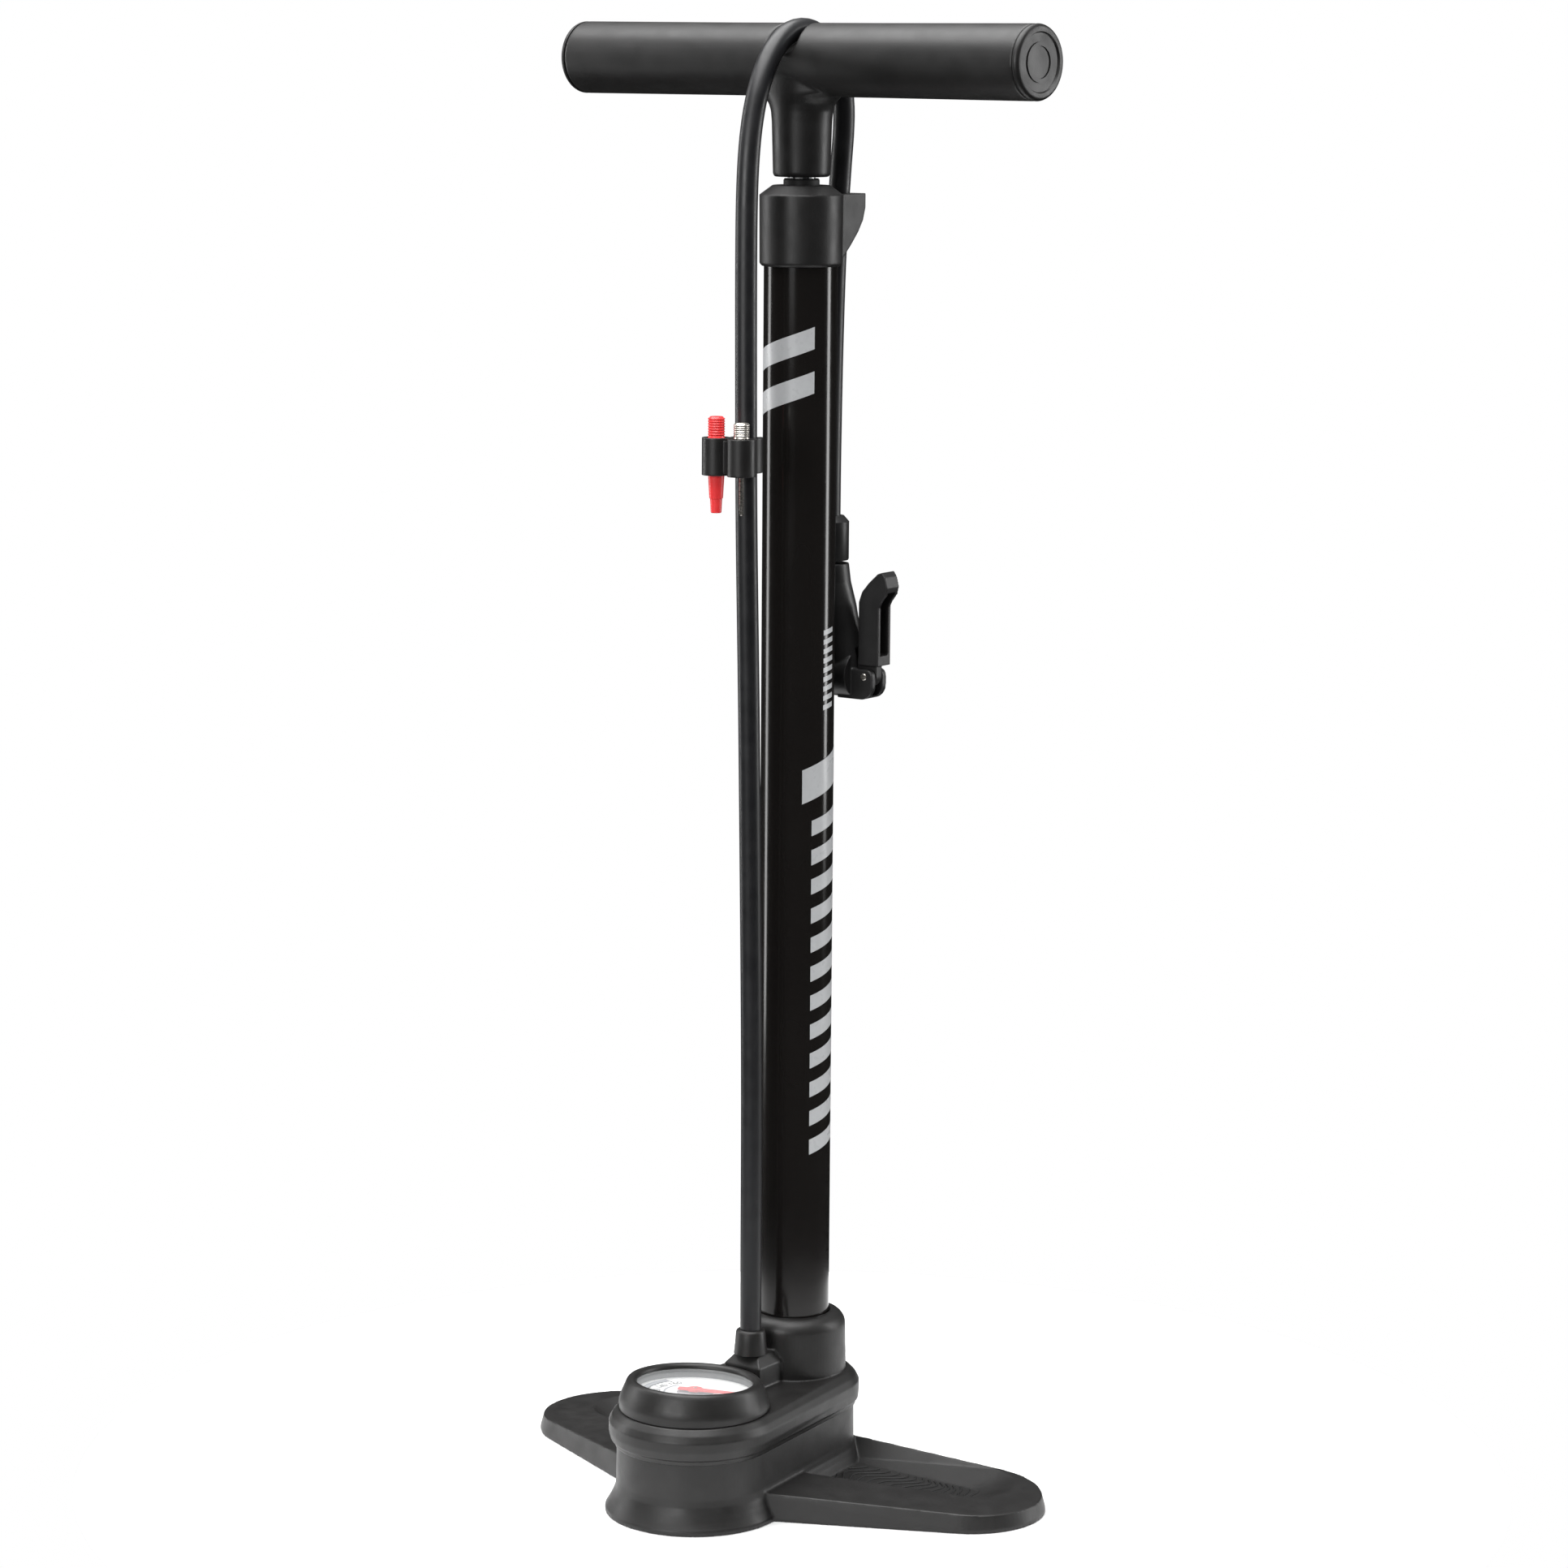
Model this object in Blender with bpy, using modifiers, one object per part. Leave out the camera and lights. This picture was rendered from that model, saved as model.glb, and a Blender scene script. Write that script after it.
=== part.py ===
"""A hand-operated floor pump for bicycle tyres: a T-handle and rod in a tall barrel, on a moulded base
with two foot pegs and a pressure gauge, with a hose that is stowed over the handle and ends in a lever head.

The origin is on the floor under the barrel's axis. +X is along the right foot peg, -Y is towards the gauge,
and +Z is up. Lengths are in millimetres, and the helpers turn them into metres.
"""

import math

import bmesh
import bpy
from mathutils import Matrix, Vector

MM = 0.001
GAP = 0.3

# Barrel, rod and piston
BARREL_R = 16.0
BARREL_INNER_R = 14.8
BARREL_LOW = 18.6
BARREL_HIGH = 560.0
ROD_R = 6.0
STUD_R = 4.0
PISTON_R = 14.4
PISTON_LOW = 46.0
PISTON_HIGH = 58.0

# Cap on the barrel, with the hook that holds the hose
CAP_R = 18.1
CAP_LOW = 537.2
CAP_EDGE = 567.6
CAP_HIGH = 571.8
HOOK_REACH = 37.4
HOOK_WALL = 3.0
HOOK_SIDE = 8.2

# Handle
HANDLE_Z = 624.9
HANDLE_R = 15.8
HANDLE_WAIST_R = 15.6
HANDLE_HALF = 130.4
PLUG_FLANGE = 2.7
HANDLE_TURN = math.radians(-6.8)

# Base: the outline is drawn round a circle at the gauge and a circle at the barrel
GAUGE_Y = -74.4
BODY_R = 33.8
BODY_BACK_R = 27.5
WALL = 3.0
FLOOR = 4.0
BODY_HIGH = 36.0
COVER_HIGH = 46.0
COVER_R = 37.3
COVER_BACK_R = 29.9
COLLAR_R = 23.5
COLLAR_HIGH = 73.0
GAUGE_TILT = math.radians(3.0)
POSTS = ((21.0, -15.0), (-21.0, -15.0), (15.0, -96.0), (-15.0, -96.0))

# Foot pegs
PEG_TIP = Vector((97.0, -4.5))
PEG_TIP_R = 34.0
PEG_FRONT_SLOPE = math.radians(24.7)
PEG_BACK_SLOPE = math.radians(5.7)
PEG_FLOOR = 4.0

# Hose and what is on it
HOSE_R = 4.7
PORT_Y = -32.6
PORT_HIGH = 60.0
HEAD_X = -2.5
HEAD_Y = 27.4
CREST_Z = 637.9
ARCH_R = 30.0
CLIP_LOW = 450.5
CLIP_HIGH = 466.5
CLIP_HOSE_Y = -39.7
SOCKET_X = 6.6
SOCKET_Y = -52.3

# Lever head at the end of the hose
PIVOT_X = 19.9
PIVOT_Z = 357.6
CHAMBER_R = 10.2
CAM_START_R = 5.5
CAM_LIFT = 2.8

HOSE_ROUTE = (
    (0, -32.6, 61.5),
    (0, -32.6, 95),
    (0, -33.1, 195),
    (0, -36.3, 335),
    (0, -39.2, 430),
    (0, -40.2, 500),
    (0, -40.5, 545),
    (0, -40.0, 572),
    (0, -38.2, 591),
    (0, -34.7, 606),
    (0, -29.4, 618),
    (0, -21.7, 628.6),
    (0, -11.5, 635.6),
    (0, 0, CREST_Z),
    (0, 11.5, 635.6),
    (0, 21.7, 628.6),
    (0, 28.6, 618),
    (0, 31.6, 606),
    (0, 31.6, 594),
    (-0.2, 30.3, 580),
    (-0.7, 29.0, 560),
    (-1.3, 28.0, 533),
    (-2.0, 27.6, 495),
    (-2.4, 27.4, 455),
    (HEAD_X, HEAD_Y, 430),
    (HEAD_X, HEAD_Y, 409),
)


def clear_scene():
    for obj in list(bpy.data.objects):
        bpy.data.objects.remove(obj, do_unlink=True)


def new_collection(name):
    collection = bpy.data.collections.new(name)
    bpy.context.scene.collection.children.link(collection)
    return collection


def material(name, colour, roughness, metallic=0.0, alpha=1.0):
    made = bpy.data.materials.new(name)
    made.use_nodes = True
    shader = made.node_tree.nodes["Principled BSDF"]
    shader.inputs["Base Color"].default_value = (*colour, 1.0)
    shader.inputs["Roughness"].default_value = roughness
    shader.inputs["Metallic"].default_value = metallic
    shader.inputs["Alpha"].default_value = alpha
    return made


def add_object(name, mesh, look):
    """A part where look is a material, and a cutter or a shape to fuse where it is None."""
    obj = bpy.data.objects.new(name, mesh)
    if look is None:
        CUTTERS.objects.link(obj)
        obj.hide_render = True
        obj.display_type = "WIRE"
    else:
        PARTS.objects.link(obj)
        mesh.materials.append(look)
    return obj


def mesh_from(name, grid):
    mesh = bpy.data.meshes.new(name)
    bmesh.ops.recalc_face_normals(grid, faces=grid.faces)
    grid.to_mesh(mesh)
    grid.free()
    mesh.shade_smooth()
    mesh.set_sharp_from_angle(angle=math.radians(35))
    return mesh


def turned(name, profile, look, at=(0, 0, 0), segments=28, along=None):
    """A profile of (radius, height) points, turned about its own Z.

    The points run down the outer side. Where they start and end off the axis, the profile is a closed
    ring. along, if given, turns the piece's Z onto another axis.
    """
    mesh = bpy.data.meshes.new(name)
    points = [(radius * MM, 0, height * MM) for radius, height in profile]
    edges = [(i, i + 1) for i in range(len(points) - 1)]
    if profile[0][0] > 0:
        edges.append((len(points) - 1, 0))
    mesh.from_pydata(points, edges, [])
    obj = add_object(name, mesh, look)
    obj.location = Vector(at) * MM
    if along:
        obj.rotation_euler = Vector(along).to_track_quat("Z", "Y").to_euler()
    screw = obj.modifiers.new("turn", "SCREW")
    screw.steps = segments
    screw.render_steps = segments
    screw.use_merge_vertices = True
    screw.merge_threshold = 1e-5
    return obj


def rod(name, radius, start, end, look, segments=20):
    """A plain round bar from one point to another."""
    start, end = Vector(start), Vector(end)
    grid = bmesh.new()
    length = (end - start).length
    bmesh.ops.create_cone(
        grid,
        cap_ends=True,
        segments=segments,
        radius1=radius * MM,
        radius2=radius * MM,
        depth=length * MM,
    )
    obj = add_object(name, mesh_from(name, grid), look)
    obj.location = (start + end) / 2 * MM
    obj.rotation_euler = (end - start).to_track_quat("Z", "Y").to_euler()
    return obj


def lofted(name, loops, look, ring=False):
    """A skin over loops of points with equal counts, with flat ends, or closed on itself as a ring."""
    grid = bmesh.new()
    rows = [[grid.verts.new(Vector(p) * MM) for p in loop] for loop in loops]
    pairs = list(zip(rows, rows[1:]))
    if ring:
        pairs.append((rows[-1], rows[0]))
    for low, high in pairs:
        for i in range(len(low)):
            j = (i + 1) % len(low)
            grid.faces.new((low[i], low[j], high[j], high[i]))
    if not ring:
        grid.faces.new(rows[0])
        grid.faces.new(rows[-1])
    return add_object(name, mesh_from(name, grid), look)


def extruded(name, outline, low, high, look, plane="XY"):
    """A flat outline carried from low to high, across the plane that it is drawn in."""
    curve = bpy.data.curves.new(name, "CURVE")
    curve.dimensions = "2D"
    curve.fill_mode = "BOTH"
    curve.extrude = (high - low) / 2 * MM
    spline = curve.splines.new("POLY")
    spline.use_cyclic_u = True
    spline.points.add(len(outline) - 1)
    for place, (u, v) in zip(spline.points, outline):
        place.co = (u * MM, v * MM, 0, 1)
    guide = bpy.data.objects.new(name, curve)
    CUTTERS.objects.link(guide)
    bpy.context.view_layer.update()
    mesh = bpy.data.meshes.new_from_object(guide.evaluated_get(bpy.context.evaluated_depsgraph_get()))
    bpy.data.objects.remove(guide, do_unlink=True)
    grid = bmesh.new()
    grid.from_mesh(mesh)
    bmesh.ops.remove_doubles(grid, verts=grid.verts, dist=1e-6)
    obj = add_object(name, mesh_from(name, grid), look)
    middle = (high + low) / 2 * MM
    if plane == "XY":
        obj.location.z = middle
    else:
        obj.rotation_euler.x = math.pi / 2
        obj.location.y = middle
    return obj


def box(name, low, high, look):
    grid = bmesh.new()
    bmesh.ops.create_cube(grid, size=1.0)
    size = Vector(high) - Vector(low)
    middle = (Vector(high) + Vector(low)) / 2
    bmesh.ops.transform(grid, matrix=Matrix.Diagonal((*(size * MM), 1)), verts=grid.verts)
    bmesh.ops.translate(grid, vec=middle * MM, verts=grid.verts)
    return add_object(name, mesh_from(name, grid), look)


def boolean(obj, other, operation):
    step = obj.modifiers.new(operation.lower(), "BOOLEAN")
    step.object = other
    step.operation = operation
    step.solver = "EXACT"
    return obj


def cut(obj, *others):
    for other in others:
        boolean(obj, other, "DIFFERENCE")
    return obj


def fuse(obj, *others):
    for other in others:
        boolean(obj, other, "UNION")
    return obj


def with_manifold_solver(obj):
    """For a piece whose flush faces the exact solver leaves open."""
    for step in obj.modifiers:
        if step.type == "BOOLEAN":
            step.solver = "MANIFOLD"
    return obj


def arc(centre, radius, start, end, count):
    """Points on an arc from one angle to another, in radians."""
    steps = [start + (end - start) * i / (count - 1) for i in range(count)]
    return [(centre[0] + radius * math.cos(a), centre[1] + radius * math.sin(a)) for a in steps]


def circle(radius, height, count=40, centre=(0, 0), tilt=0.0, wide=1.0):
    """A loop that may lean towards +Y by tilt, and may be wider along X."""
    points = []
    for i in range(count):
        angle = 2 * math.pi * i / count
        x = radius * wide * math.cos(angle)
        y = radius * math.sin(angle)
        points.append((centre[0] + x, centre[1] + y * math.cos(tilt), height - y * math.sin(tilt)))
    return points


def base_outline(front_r, back_r):
    """The outline round the gauge's circle and the barrel's circle, with straight sides between them."""
    lean = math.asin((front_r - back_r) / abs(GAUGE_Y))
    front = arc((0, GAUGE_Y), front_r, math.pi - lean, 2 * math.pi + lean, 19)
    back = arc((0, 0), back_r, lean, math.pi - lean, 14)
    return front + back


def base_loops(levels):
    return [[(x, y, z) for x, y in base_outline(front, back)] for z, front, back in levels]


def peg_outline(inset):
    """One foot peg seen from above, from inside the base out to its round tip and back."""
    radius = PEG_TIP_R - inset
    start = PEG_FRONT_SLOPE - math.pi / 2
    end = PEG_BACK_SLOPE + math.pi / 2
    tip = arc(PEG_TIP, radius, start, end, 14)
    front_run = (tip[0][0] - 12) / math.cos(PEG_FRONT_SLOPE)
    back_run = (tip[-1][0] - 4) / math.cos(PEG_BACK_SLOPE)
    root_front = (12, tip[0][1] - front_run * math.sin(PEG_FRONT_SLOPE))
    root_back = (4, tip[-1][1] - back_run * math.sin(PEG_BACK_SLOPE))
    return [root_front] + tip + [root_back]


def peg_top(x):
    """The height of the peg's rim, which falls towards the tip."""
    return 11.6 - 0.05 * (abs(x) - 40)


def peg_recess():
    """The loops of the dish in the peg: its floor, its rim, and the same rim carried clear of the peg."""
    floor = [(10, -36)] + arc((88, -1), 10, -1.35, 1.5, 11) + [(10, 10)]
    rim = [(10, -43)] + arc((91, 6), 20.5, -1.35, 1.5, 11) + [(10, 19.2)]
    low = [(x, y, PEG_FLOOR) for x, y in floor]
    edge = [(x, y, peg_top(x)) for x, y in rim]
    high = [(x, y, z + 8) for x, y, z in edge]
    return [low, edge, high]


def peg(side):
    """A foot peg with its dish, on the side given by the sign of X."""
    outline = peg_outline(0)
    inner = peg_outline(1.8)
    loops = [[(x, y, 0) for x, y in outline], [(x, y, 1.2) for x, y in outline]]
    loops.append([(x, y, peg_top(x)) for x, y in inner])
    shape = [[(side * x, y, z) for x, y, z in loop] for loop in loops]
    dish = [[(side * x, y, z) for x, y, z in loop] for loop in peg_recess()]
    name = "peg_right" if side > 0 else "peg_left"
    return cut(lofted(name, shape, None), lofted(name + "_dish", dish, None))


def make_base_body():
    """The lower moulding: a tub with a flared foot, two pegs, and counterbored screw holes in its floor."""
    levels = [
        (0.0, 38.9, 31.2),
        (2.6, 38.6, 30.9),
        (5.0, 36.9, 29.6),
        (9.0, 35.0, 28.3),
        (13.0, 34.1, 27.7),
        (BODY_HIGH, BODY_R, BODY_BACK_R),
    ]
    body = lofted("base_body", base_loops(levels), BLACK)
    fuse(body, peg(1), peg(-1))
    inner = (BODY_R - WALL, BODY_BACK_R - WALL)
    hollow = lofted("body_hollow", base_loops([(FLOOR, *inner), (BODY_HIGH + 5, *inner)]), None)
    cut(body, hollow)
    for index, (x, y) in enumerate(POSTS):
        steps = [(0, FLOOR + 2), (1.8, FLOOR + 2), (1.8, 2.6), (3.8, 2.6), (3.8, -1), (0, -1)]
        cut(body, turned(f"body_hole_{index}", steps, None, (x, y, 0), 12))
    return with_manifold_solver(body)


def make_base_cover():
    """The upper moulding: a lid with the barrel's collar, the hose port and four screw posts."""
    outer = [
        (30.0, BODY_R + 0.9, BODY_BACK_R + 0.8),
        (35.4, COVER_R, COVER_BACK_R),
        (40.6, COVER_R, COVER_BACK_R),
        (43.4, 36.3, 28.8),
        (45.2, 34.8, 27.1),
        (COVER_HIGH, 33.8, 25.9),
    ]
    cover = lofted("base_cover", base_loops(outer), BLACK)
    inner = (BODY_R + GAP, BODY_BACK_R + GAP)
    cut(cover, lofted("cover_hollow", base_loops([(20.0, *inner), (BODY_HIGH + 4.5, *inner)]), None))
    shoulder = arc((COLLAR_R - 7.0, COLLAR_HIGH - 7.0), 7.0, math.pi / 2, 0, 5)
    collar = [(0, COLLAR_HIGH)] + shoulder + [(COLLAR_R + 0.4, 44.0), (20.0, 38.0), (19.5, 24.0), (0, 24.0)]
    fuse(cover, turned("cover_collar", collar, None, segments=36))
    fuse(cover, port_block())
    for index, (x, y) in enumerate(POSTS):
        fuse(cover, rod(f"post_{index}", 4.0, (x, y, FLOOR + GAP), (x, y, 42), None, 12))
    for index, (x, y) in enumerate(POSTS):
        cut(cover, rod(f"post_hole_{index}", 1.8, (x, y, 2), (x, y, 18), None, 10))
    cut(cover, rod("collar_bore", BARREL_R + GAP + 0.1, (0, 0, 0), (0, 0, 90), None, 36))
    cut(cover, rod("gauge_hole", 19.0, (0, GAUGE_Y, 30), (0, GAUGE_Y, 60), None, 28))
    cut(cover, rod("port_bore", 4.4, (0, PORT_Y, 30), (0, PORT_Y, 70), None, 16))
    return cover


def port_block():
    """The chamfered block beside the collar that the hose is screwed into."""
    loops = []
    for z, inset in ((42.0, 0.0), (55.5, 0.0), (PORT_HIGH, 3.6)):
        x = 9.6 - inset
        front = -39.0 + inset
        loops.append([(x, front, z), (x, -17.0, z), (-x, -17.0, z), (-x, front, z)])
    return lofted("port_block", loops, None)


def make_barrel():
    wall = [(BARREL_R, BARREL_HIGH), (BARREL_R, BARREL_LOW)]
    wall += [(BARREL_INNER_R, BARREL_LOW), (BARREL_INNER_R, BARREL_HIGH)]
    return turned("barrel", wall, GLOSS_BLACK, segments=40)


def make_barrel_cap():
    profile = [
        (12.4, CAP_HIGH),
        (CAP_R, CAP_EDGE),
        (CAP_R - 0.2, CAP_LOW + 1.2),
        (16.6, CAP_LOW),
        (BARREL_R + GAP, CAP_LOW),
        (BARREL_R + GAP, BARREL_HIGH + GAP),
        (8.1, BARREL_HIGH + GAP),
        (8.1, CAP_HIGH),
    ]
    cap = turned("barrel_cap", profile, BLACK, segments=40)
    inside = HOOK_SIDE - HOOK_WALL
    lip = HOOK_REACH - 2.8
    outline = [(HOOK_SIDE, 14.5), (HOOK_SIDE, HOOK_REACH), (-2.0, HOOK_REACH), (-2.0, lip), (inside, lip)]
    outline.append((inside, 17.2))
    hook = extruded("hook", outline, CAP_LOW + 3, CAP_EDGE, None)
    lower = [(18.0, 538.5), (21.5, 541.0), (27.0, 546.0), (32.0, 551.0), (35.6, 556.0), (37.6, 562.0)]
    below = [(45.0, 562.0), (45.0, 530.0), (18.0, 530.0)]
    loops = [[(x, y, z) for y, z in lower + below] for x in (-20, 20)]
    cut(hook, lofted("hook_underside", loops, None))
    return fuse(cap, hook)


def make_guide_bush():
    """The bush that guides the rod, with the collar that shows above the cap."""
    profile = [
        (7.8, 574.6),
        (7.8, BARREL_HIGH - 0.1),
        (14.5, BARREL_HIGH - 0.1),
        (14.5, 546.0),
        (ROD_R + GAP, 546.0),
        (ROD_R + GAP, 574.6),
    ]
    return turned("guide_bush", profile, RUBBER)


def seal_ring(name, inner, outer, low, high, look):
    """A seal with a rounded section, between an inner and an outer radius."""
    middle = ((inner + outer) / 2, (low + high) / 2)
    half_width = (outer - inner) / 2
    half_height = (high - low) / 2
    profile = []
    for i in range(8):
        angle = math.pi / 2 - 2 * math.pi * i / 8
        profile.append((middle[0] + half_width * math.cos(angle), middle[1] + half_height * math.sin(angle)))
    return turned(name, profile, look, segments=24)


def make_foot_plug():
    """The plug in the barrel's foot, with the seat and the pocket of the check valve."""
    profile = [
        (6.5, 30.0),
        (14.5, 30.0),
        (14.5, 25.4),
        (12.5, 25.4),
        (12.5, 21.8),
        (14.5, 21.8),
        (14.5, 18.3),
        (16.0, 18.3),
        (16.0, 15.3),
        (2.5, 15.3),
        (2.5, 24.0),
        (6.5, 24.0),
    ]
    turned("foot_plug", profile, GREY_PLASTIC, segments=24)
    seal_ring("foot_seal", 12.7, 14.65, 22.0, 25.2, RUBBER)
    keeper = [(8.0, 31.9), (8.0, 30.3), (2.2, 30.3), (2.2, 31.9)]
    turned("valve_keeper", keeper, STEEL, segments=20)
    poppet = [(0, 26.3), (5.2, 26.3), (5.2, 24.3), (0, 24.3)]
    turned("valve_poppet", poppet, RUBBER, segments=20)
    turns = [(3.4 * math.cos(a), 3.4 * math.sin(a), 26.95 + 2.7 * a / (6 * math.pi)) for a in spring_angles()]
    tube("valve_spring", turns, 0.3, STEEL, 1)


def spring_angles():
    return [6 * math.pi * i / 30 for i in range(31)]


def make_manifold():
    """The air channel in the base, from under the barrel to the hose port and the gauge."""
    outline = [(-6.5, 9.0), (6.5, 9.0), (6.5, -80.0), (-6.5, -80.0)]
    manifold = extruded("air_manifold", outline, FLOOR + GAP, 15.0, GREY_PLASTIC)
    fuse(manifold, rod("port_riser", 4.0, (0, PORT_Y, 12), (0, PORT_Y, 58), None, 16))
    fuse(manifold, rod("gauge_riser", 4.0, (0, GAUGE_Y, 12), (0, GAUGE_Y, 28), None, 16))
    cut(manifold, rod("channel", 1.6, (0, 4, 10), (0, GAUGE_Y - 2, 10), None, 12))
    for index, (y, top) in enumerate(((0, 20), (PORT_Y, 62), (GAUGE_Y, 40))):
        cut(manifold, rod(f"riser_bore_{index}", 1.8, (0, y, 9.5), (0, y, top), None, 12))
    return with_manifold_solver(manifold)


def make_cover_screws():
    for index, (x, y) in enumerate(POSTS, start=1):
        profile = [(0, 16.0), (1.5, 16.0), (1.5, 2.3), (3.4, 2.3), (3.4, 0.5), (0, 0.5)]
        screw = turned(f"cover_screw_{index}", profile, STEEL, (x, y, 0), 14)
        cut(screw, rod(f"screw_drive_{index}", 1.2, (x, y, -1), (x, y, 1.5), None, 6))


def gauge_ring(radius, height):
    """A loop of the gauge at a height over the cover. All but the foot leans towards the barrel."""
    lean = GAUGE_TILT if height > 1 else 0.0
    return circle(radius, COVER_HIGH + height, 40, (0, GAUGE_Y), lean)


def make_gauge():
    """The gauge: housing, lens, dial, the movement under it, and the pointer that turns on it."""
    steps = [(32.8, 0.3), (32.7, 3.2), (31.4, 6.4), (29.9, 10.6), (28.6, 12.2), (26.6, 12.5), (25.2, 11.9)]
    steps += [(26.9, 10.6), (26.9, 0.3)]
    lofted("gauge_bezel", [gauge_ring(radius, height) for radius, height in steps], BLACK, ring=True)
    lofted("gauge_lens", [gauge_ring(26.5, 8.7), gauge_ring(26.5, 10.3)], CLEAR)
    dial = lofted("gauge_dial", [gauge_ring(26.4, 5.4), gauge_ring(26.4, 6.2)], WHITE)
    cut(dial, rod("dial_hole", 1.6, (0, GAUGE_Y, 40), (0, GAUGE_Y, 56), None, 16))
    can = [(0, 46.5), (17.0, 46.5), (17.0, 33.0), (5.5, 33.0), (5.5, 28.5), (0, 28.5)]
    turned("gauge_movement", can, BRASS, (0, GAUGE_Y, 0), 24)
    make_pointer()


def make_pointer():
    """The pointer, its hub and its short staff, turned to the zero of the scale."""
    blade = [(-7.5, -1.3), (0, -2.0), (18.0, -0.9), (20.0, 0), (18.0, 0.9), (0, 2.0), (-7.5, 1.3)]
    pointer = extruded("gauge_pointer", blade, 7.2, 7.8, RED)
    profile = [(0, 8.3), (3.0, 8.3), (3.0, 6.9), (0.9, 6.9), (0.9, 1.6), (0, 1.6)]
    hub = turned("pointer_hub", profile, None, segments=20)
    fuse(pointer, hub)
    place = Matrix.Translation(Vector((0, GAUGE_Y, COVER_HIGH)) * MM)
    lean = Matrix.Rotation(-GAUGE_TILT, 4, "X")
    bpy.context.view_layer.update()
    for piece in (pointer, hub):
        piece.matrix_world = place @ lean @ Matrix.Rotation(math.radians(22), 4, "Z") @ piece.matrix_world


def make_hose_ferrule():
    profile = [(5.6, 71.2), (6.5, 69.9), (7.4, 60.3), (HOSE_R + GAP, 60.3), (HOSE_R + GAP, 71.2)]
    turned("hose_ferrule", profile, BLACK, (0, PORT_Y, 0), 24)


def smooth_route(route, spacing):
    """Points at an even spacing along a smooth curve through the route's points."""
    knots = [Vector(p) for p in route]
    knots = [2 * knots[0] - knots[1]] + knots + [2 * knots[-1] - knots[-2]]
    dense = []
    for a, b, c, d in zip(knots, knots[1:], knots[2:], knots[3:]):
        for i in range(24):
            t = i / 24
            dense.append(0.5 * (2 * b + (c - a) * t + (2 * a - 5 * b + 4 * c - d) * t**2
                                + (3 * b - a - 3 * c + d) * t**3))
    dense.append(knots[-2])
    lengths = [0.0]
    for p, q in zip(dense, dense[1:]):
        lengths.append(lengths[-1] + (q - p).length)
    count = max(2, round(lengths[-1] / spacing))
    points = []
    index = 0
    for i in range(count + 1):
        target = lengths[-1] * i / count
        while index < len(lengths) - 2 and lengths[index + 1] < target:
            index += 1
        share = (target - lengths[index]) / (lengths[index + 1] - lengths[index])
        points.append(dense[index].lerp(dense[index + 1], min(1.0, share)))
    return points


def tube(name, points, radius, look, resolution):
    """A round bar along points, as a curve with filled caps."""
    curve = bpy.data.curves.new(name, "CURVE")
    curve.dimensions = "3D"
    curve.bevel_depth = radius * MM
    curve.bevel_resolution = resolution
    curve.use_fill_caps = True
    spline = curve.splines.new("POLY")
    spline.points.add(len(points) - 1)
    for place, point in zip(spline.points, points):
        place.co = (*(Vector(point) * MM), 1)
    curve.materials.append(look)
    obj = bpy.data.objects.new(name, curve)
    PARTS.objects.link(obj)
    return obj


def make_accessory_clip():
    """The clip on the hose's front leg, with a socket for each of the two adaptors."""
    centre = (0, CLIP_HOSE_Y)
    gap = math.radians(28)
    outer = arc(centre, 7.2, math.pi / 2 + gap, 2.5 * math.pi - gap, 19)
    inner = arc(centre, HOSE_R + GAP, 2.5 * math.pi - gap, math.pi / 2 + gap, 19)
    clip = extruded("accessory_clip", outer + inner, CLIP_LOW + 0.5, CLIP_HIGH - 0.5, BLACK)
    for name, side in (("right", 1), ("left", -1)):
        x = side * SOCKET_X
        fuse(clip, rod(f"socket_{name}", 6.2, (x, SOCKET_Y, CLIP_LOW), (x, SOCKET_Y, CLIP_HIGH), None, 24))
    web = arc(centre, 6.1, 1.24 * math.pi, 1.76 * math.pi, 9) + [(4.4, -55.0), (-4.4, -55.0)]
    fuse(clip, extruded("clip_web", web, CLIP_LOW + 1.2, CLIP_HIGH - 1.2, None))
    cut(clip, rod("cone_bore", 4.0, (-SOCKET_X, SOCKET_Y, 440), (-SOCKET_X, SOCKET_Y, 480), None, 20))
    cut(clip, rod("needle_bore", 2.1, (SOCKET_X, SOCKET_Y, 440), (SOCKET_X, SOCKET_Y, 480), None, 20))
    return clip


def make_adaptors():
    """The cone for airbeds and toys, and the needle for balls, standing in their sockets."""
    cone = [(0, 475.5), (2.6, 475.5), (3.1, 474.8), (3.6, 466.8), (3.65, 452.0), (2.3, 434.3), (0, 434.3)]
    cone_part = turned("cone_adaptor", cone, RED, (-SOCKET_X, SOCKET_Y, 0), 24)
    cut(cone_part, rod("cone_passage", 1.1, (-SOCKET_X, SOCKET_Y, 430), (-SOCKET_X, SOCKET_Y, 480), None, 12))
    needle = [
        (0, 473.4),
        (2.9, 473.4),
        (3.5, 472.7),
        (3.5, CLIP_HIGH + GAP),
        (1.7, CLIP_HIGH + GAP),
        (1.7, 455.0),
        (0.9, 452.5),
        (0.9, 434.0),
        (0, 434.0),
    ]
    needle_part = turned("ball_needle", needle, NICKEL, (SOCKET_X, SOCKET_Y, 0), 20)
    cut(needle_part, rod("needle_mouth", 1.1, (SOCKET_X, SOCKET_Y, 460), (SOCKET_X, SOCKET_Y, 480), None, 12))


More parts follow.
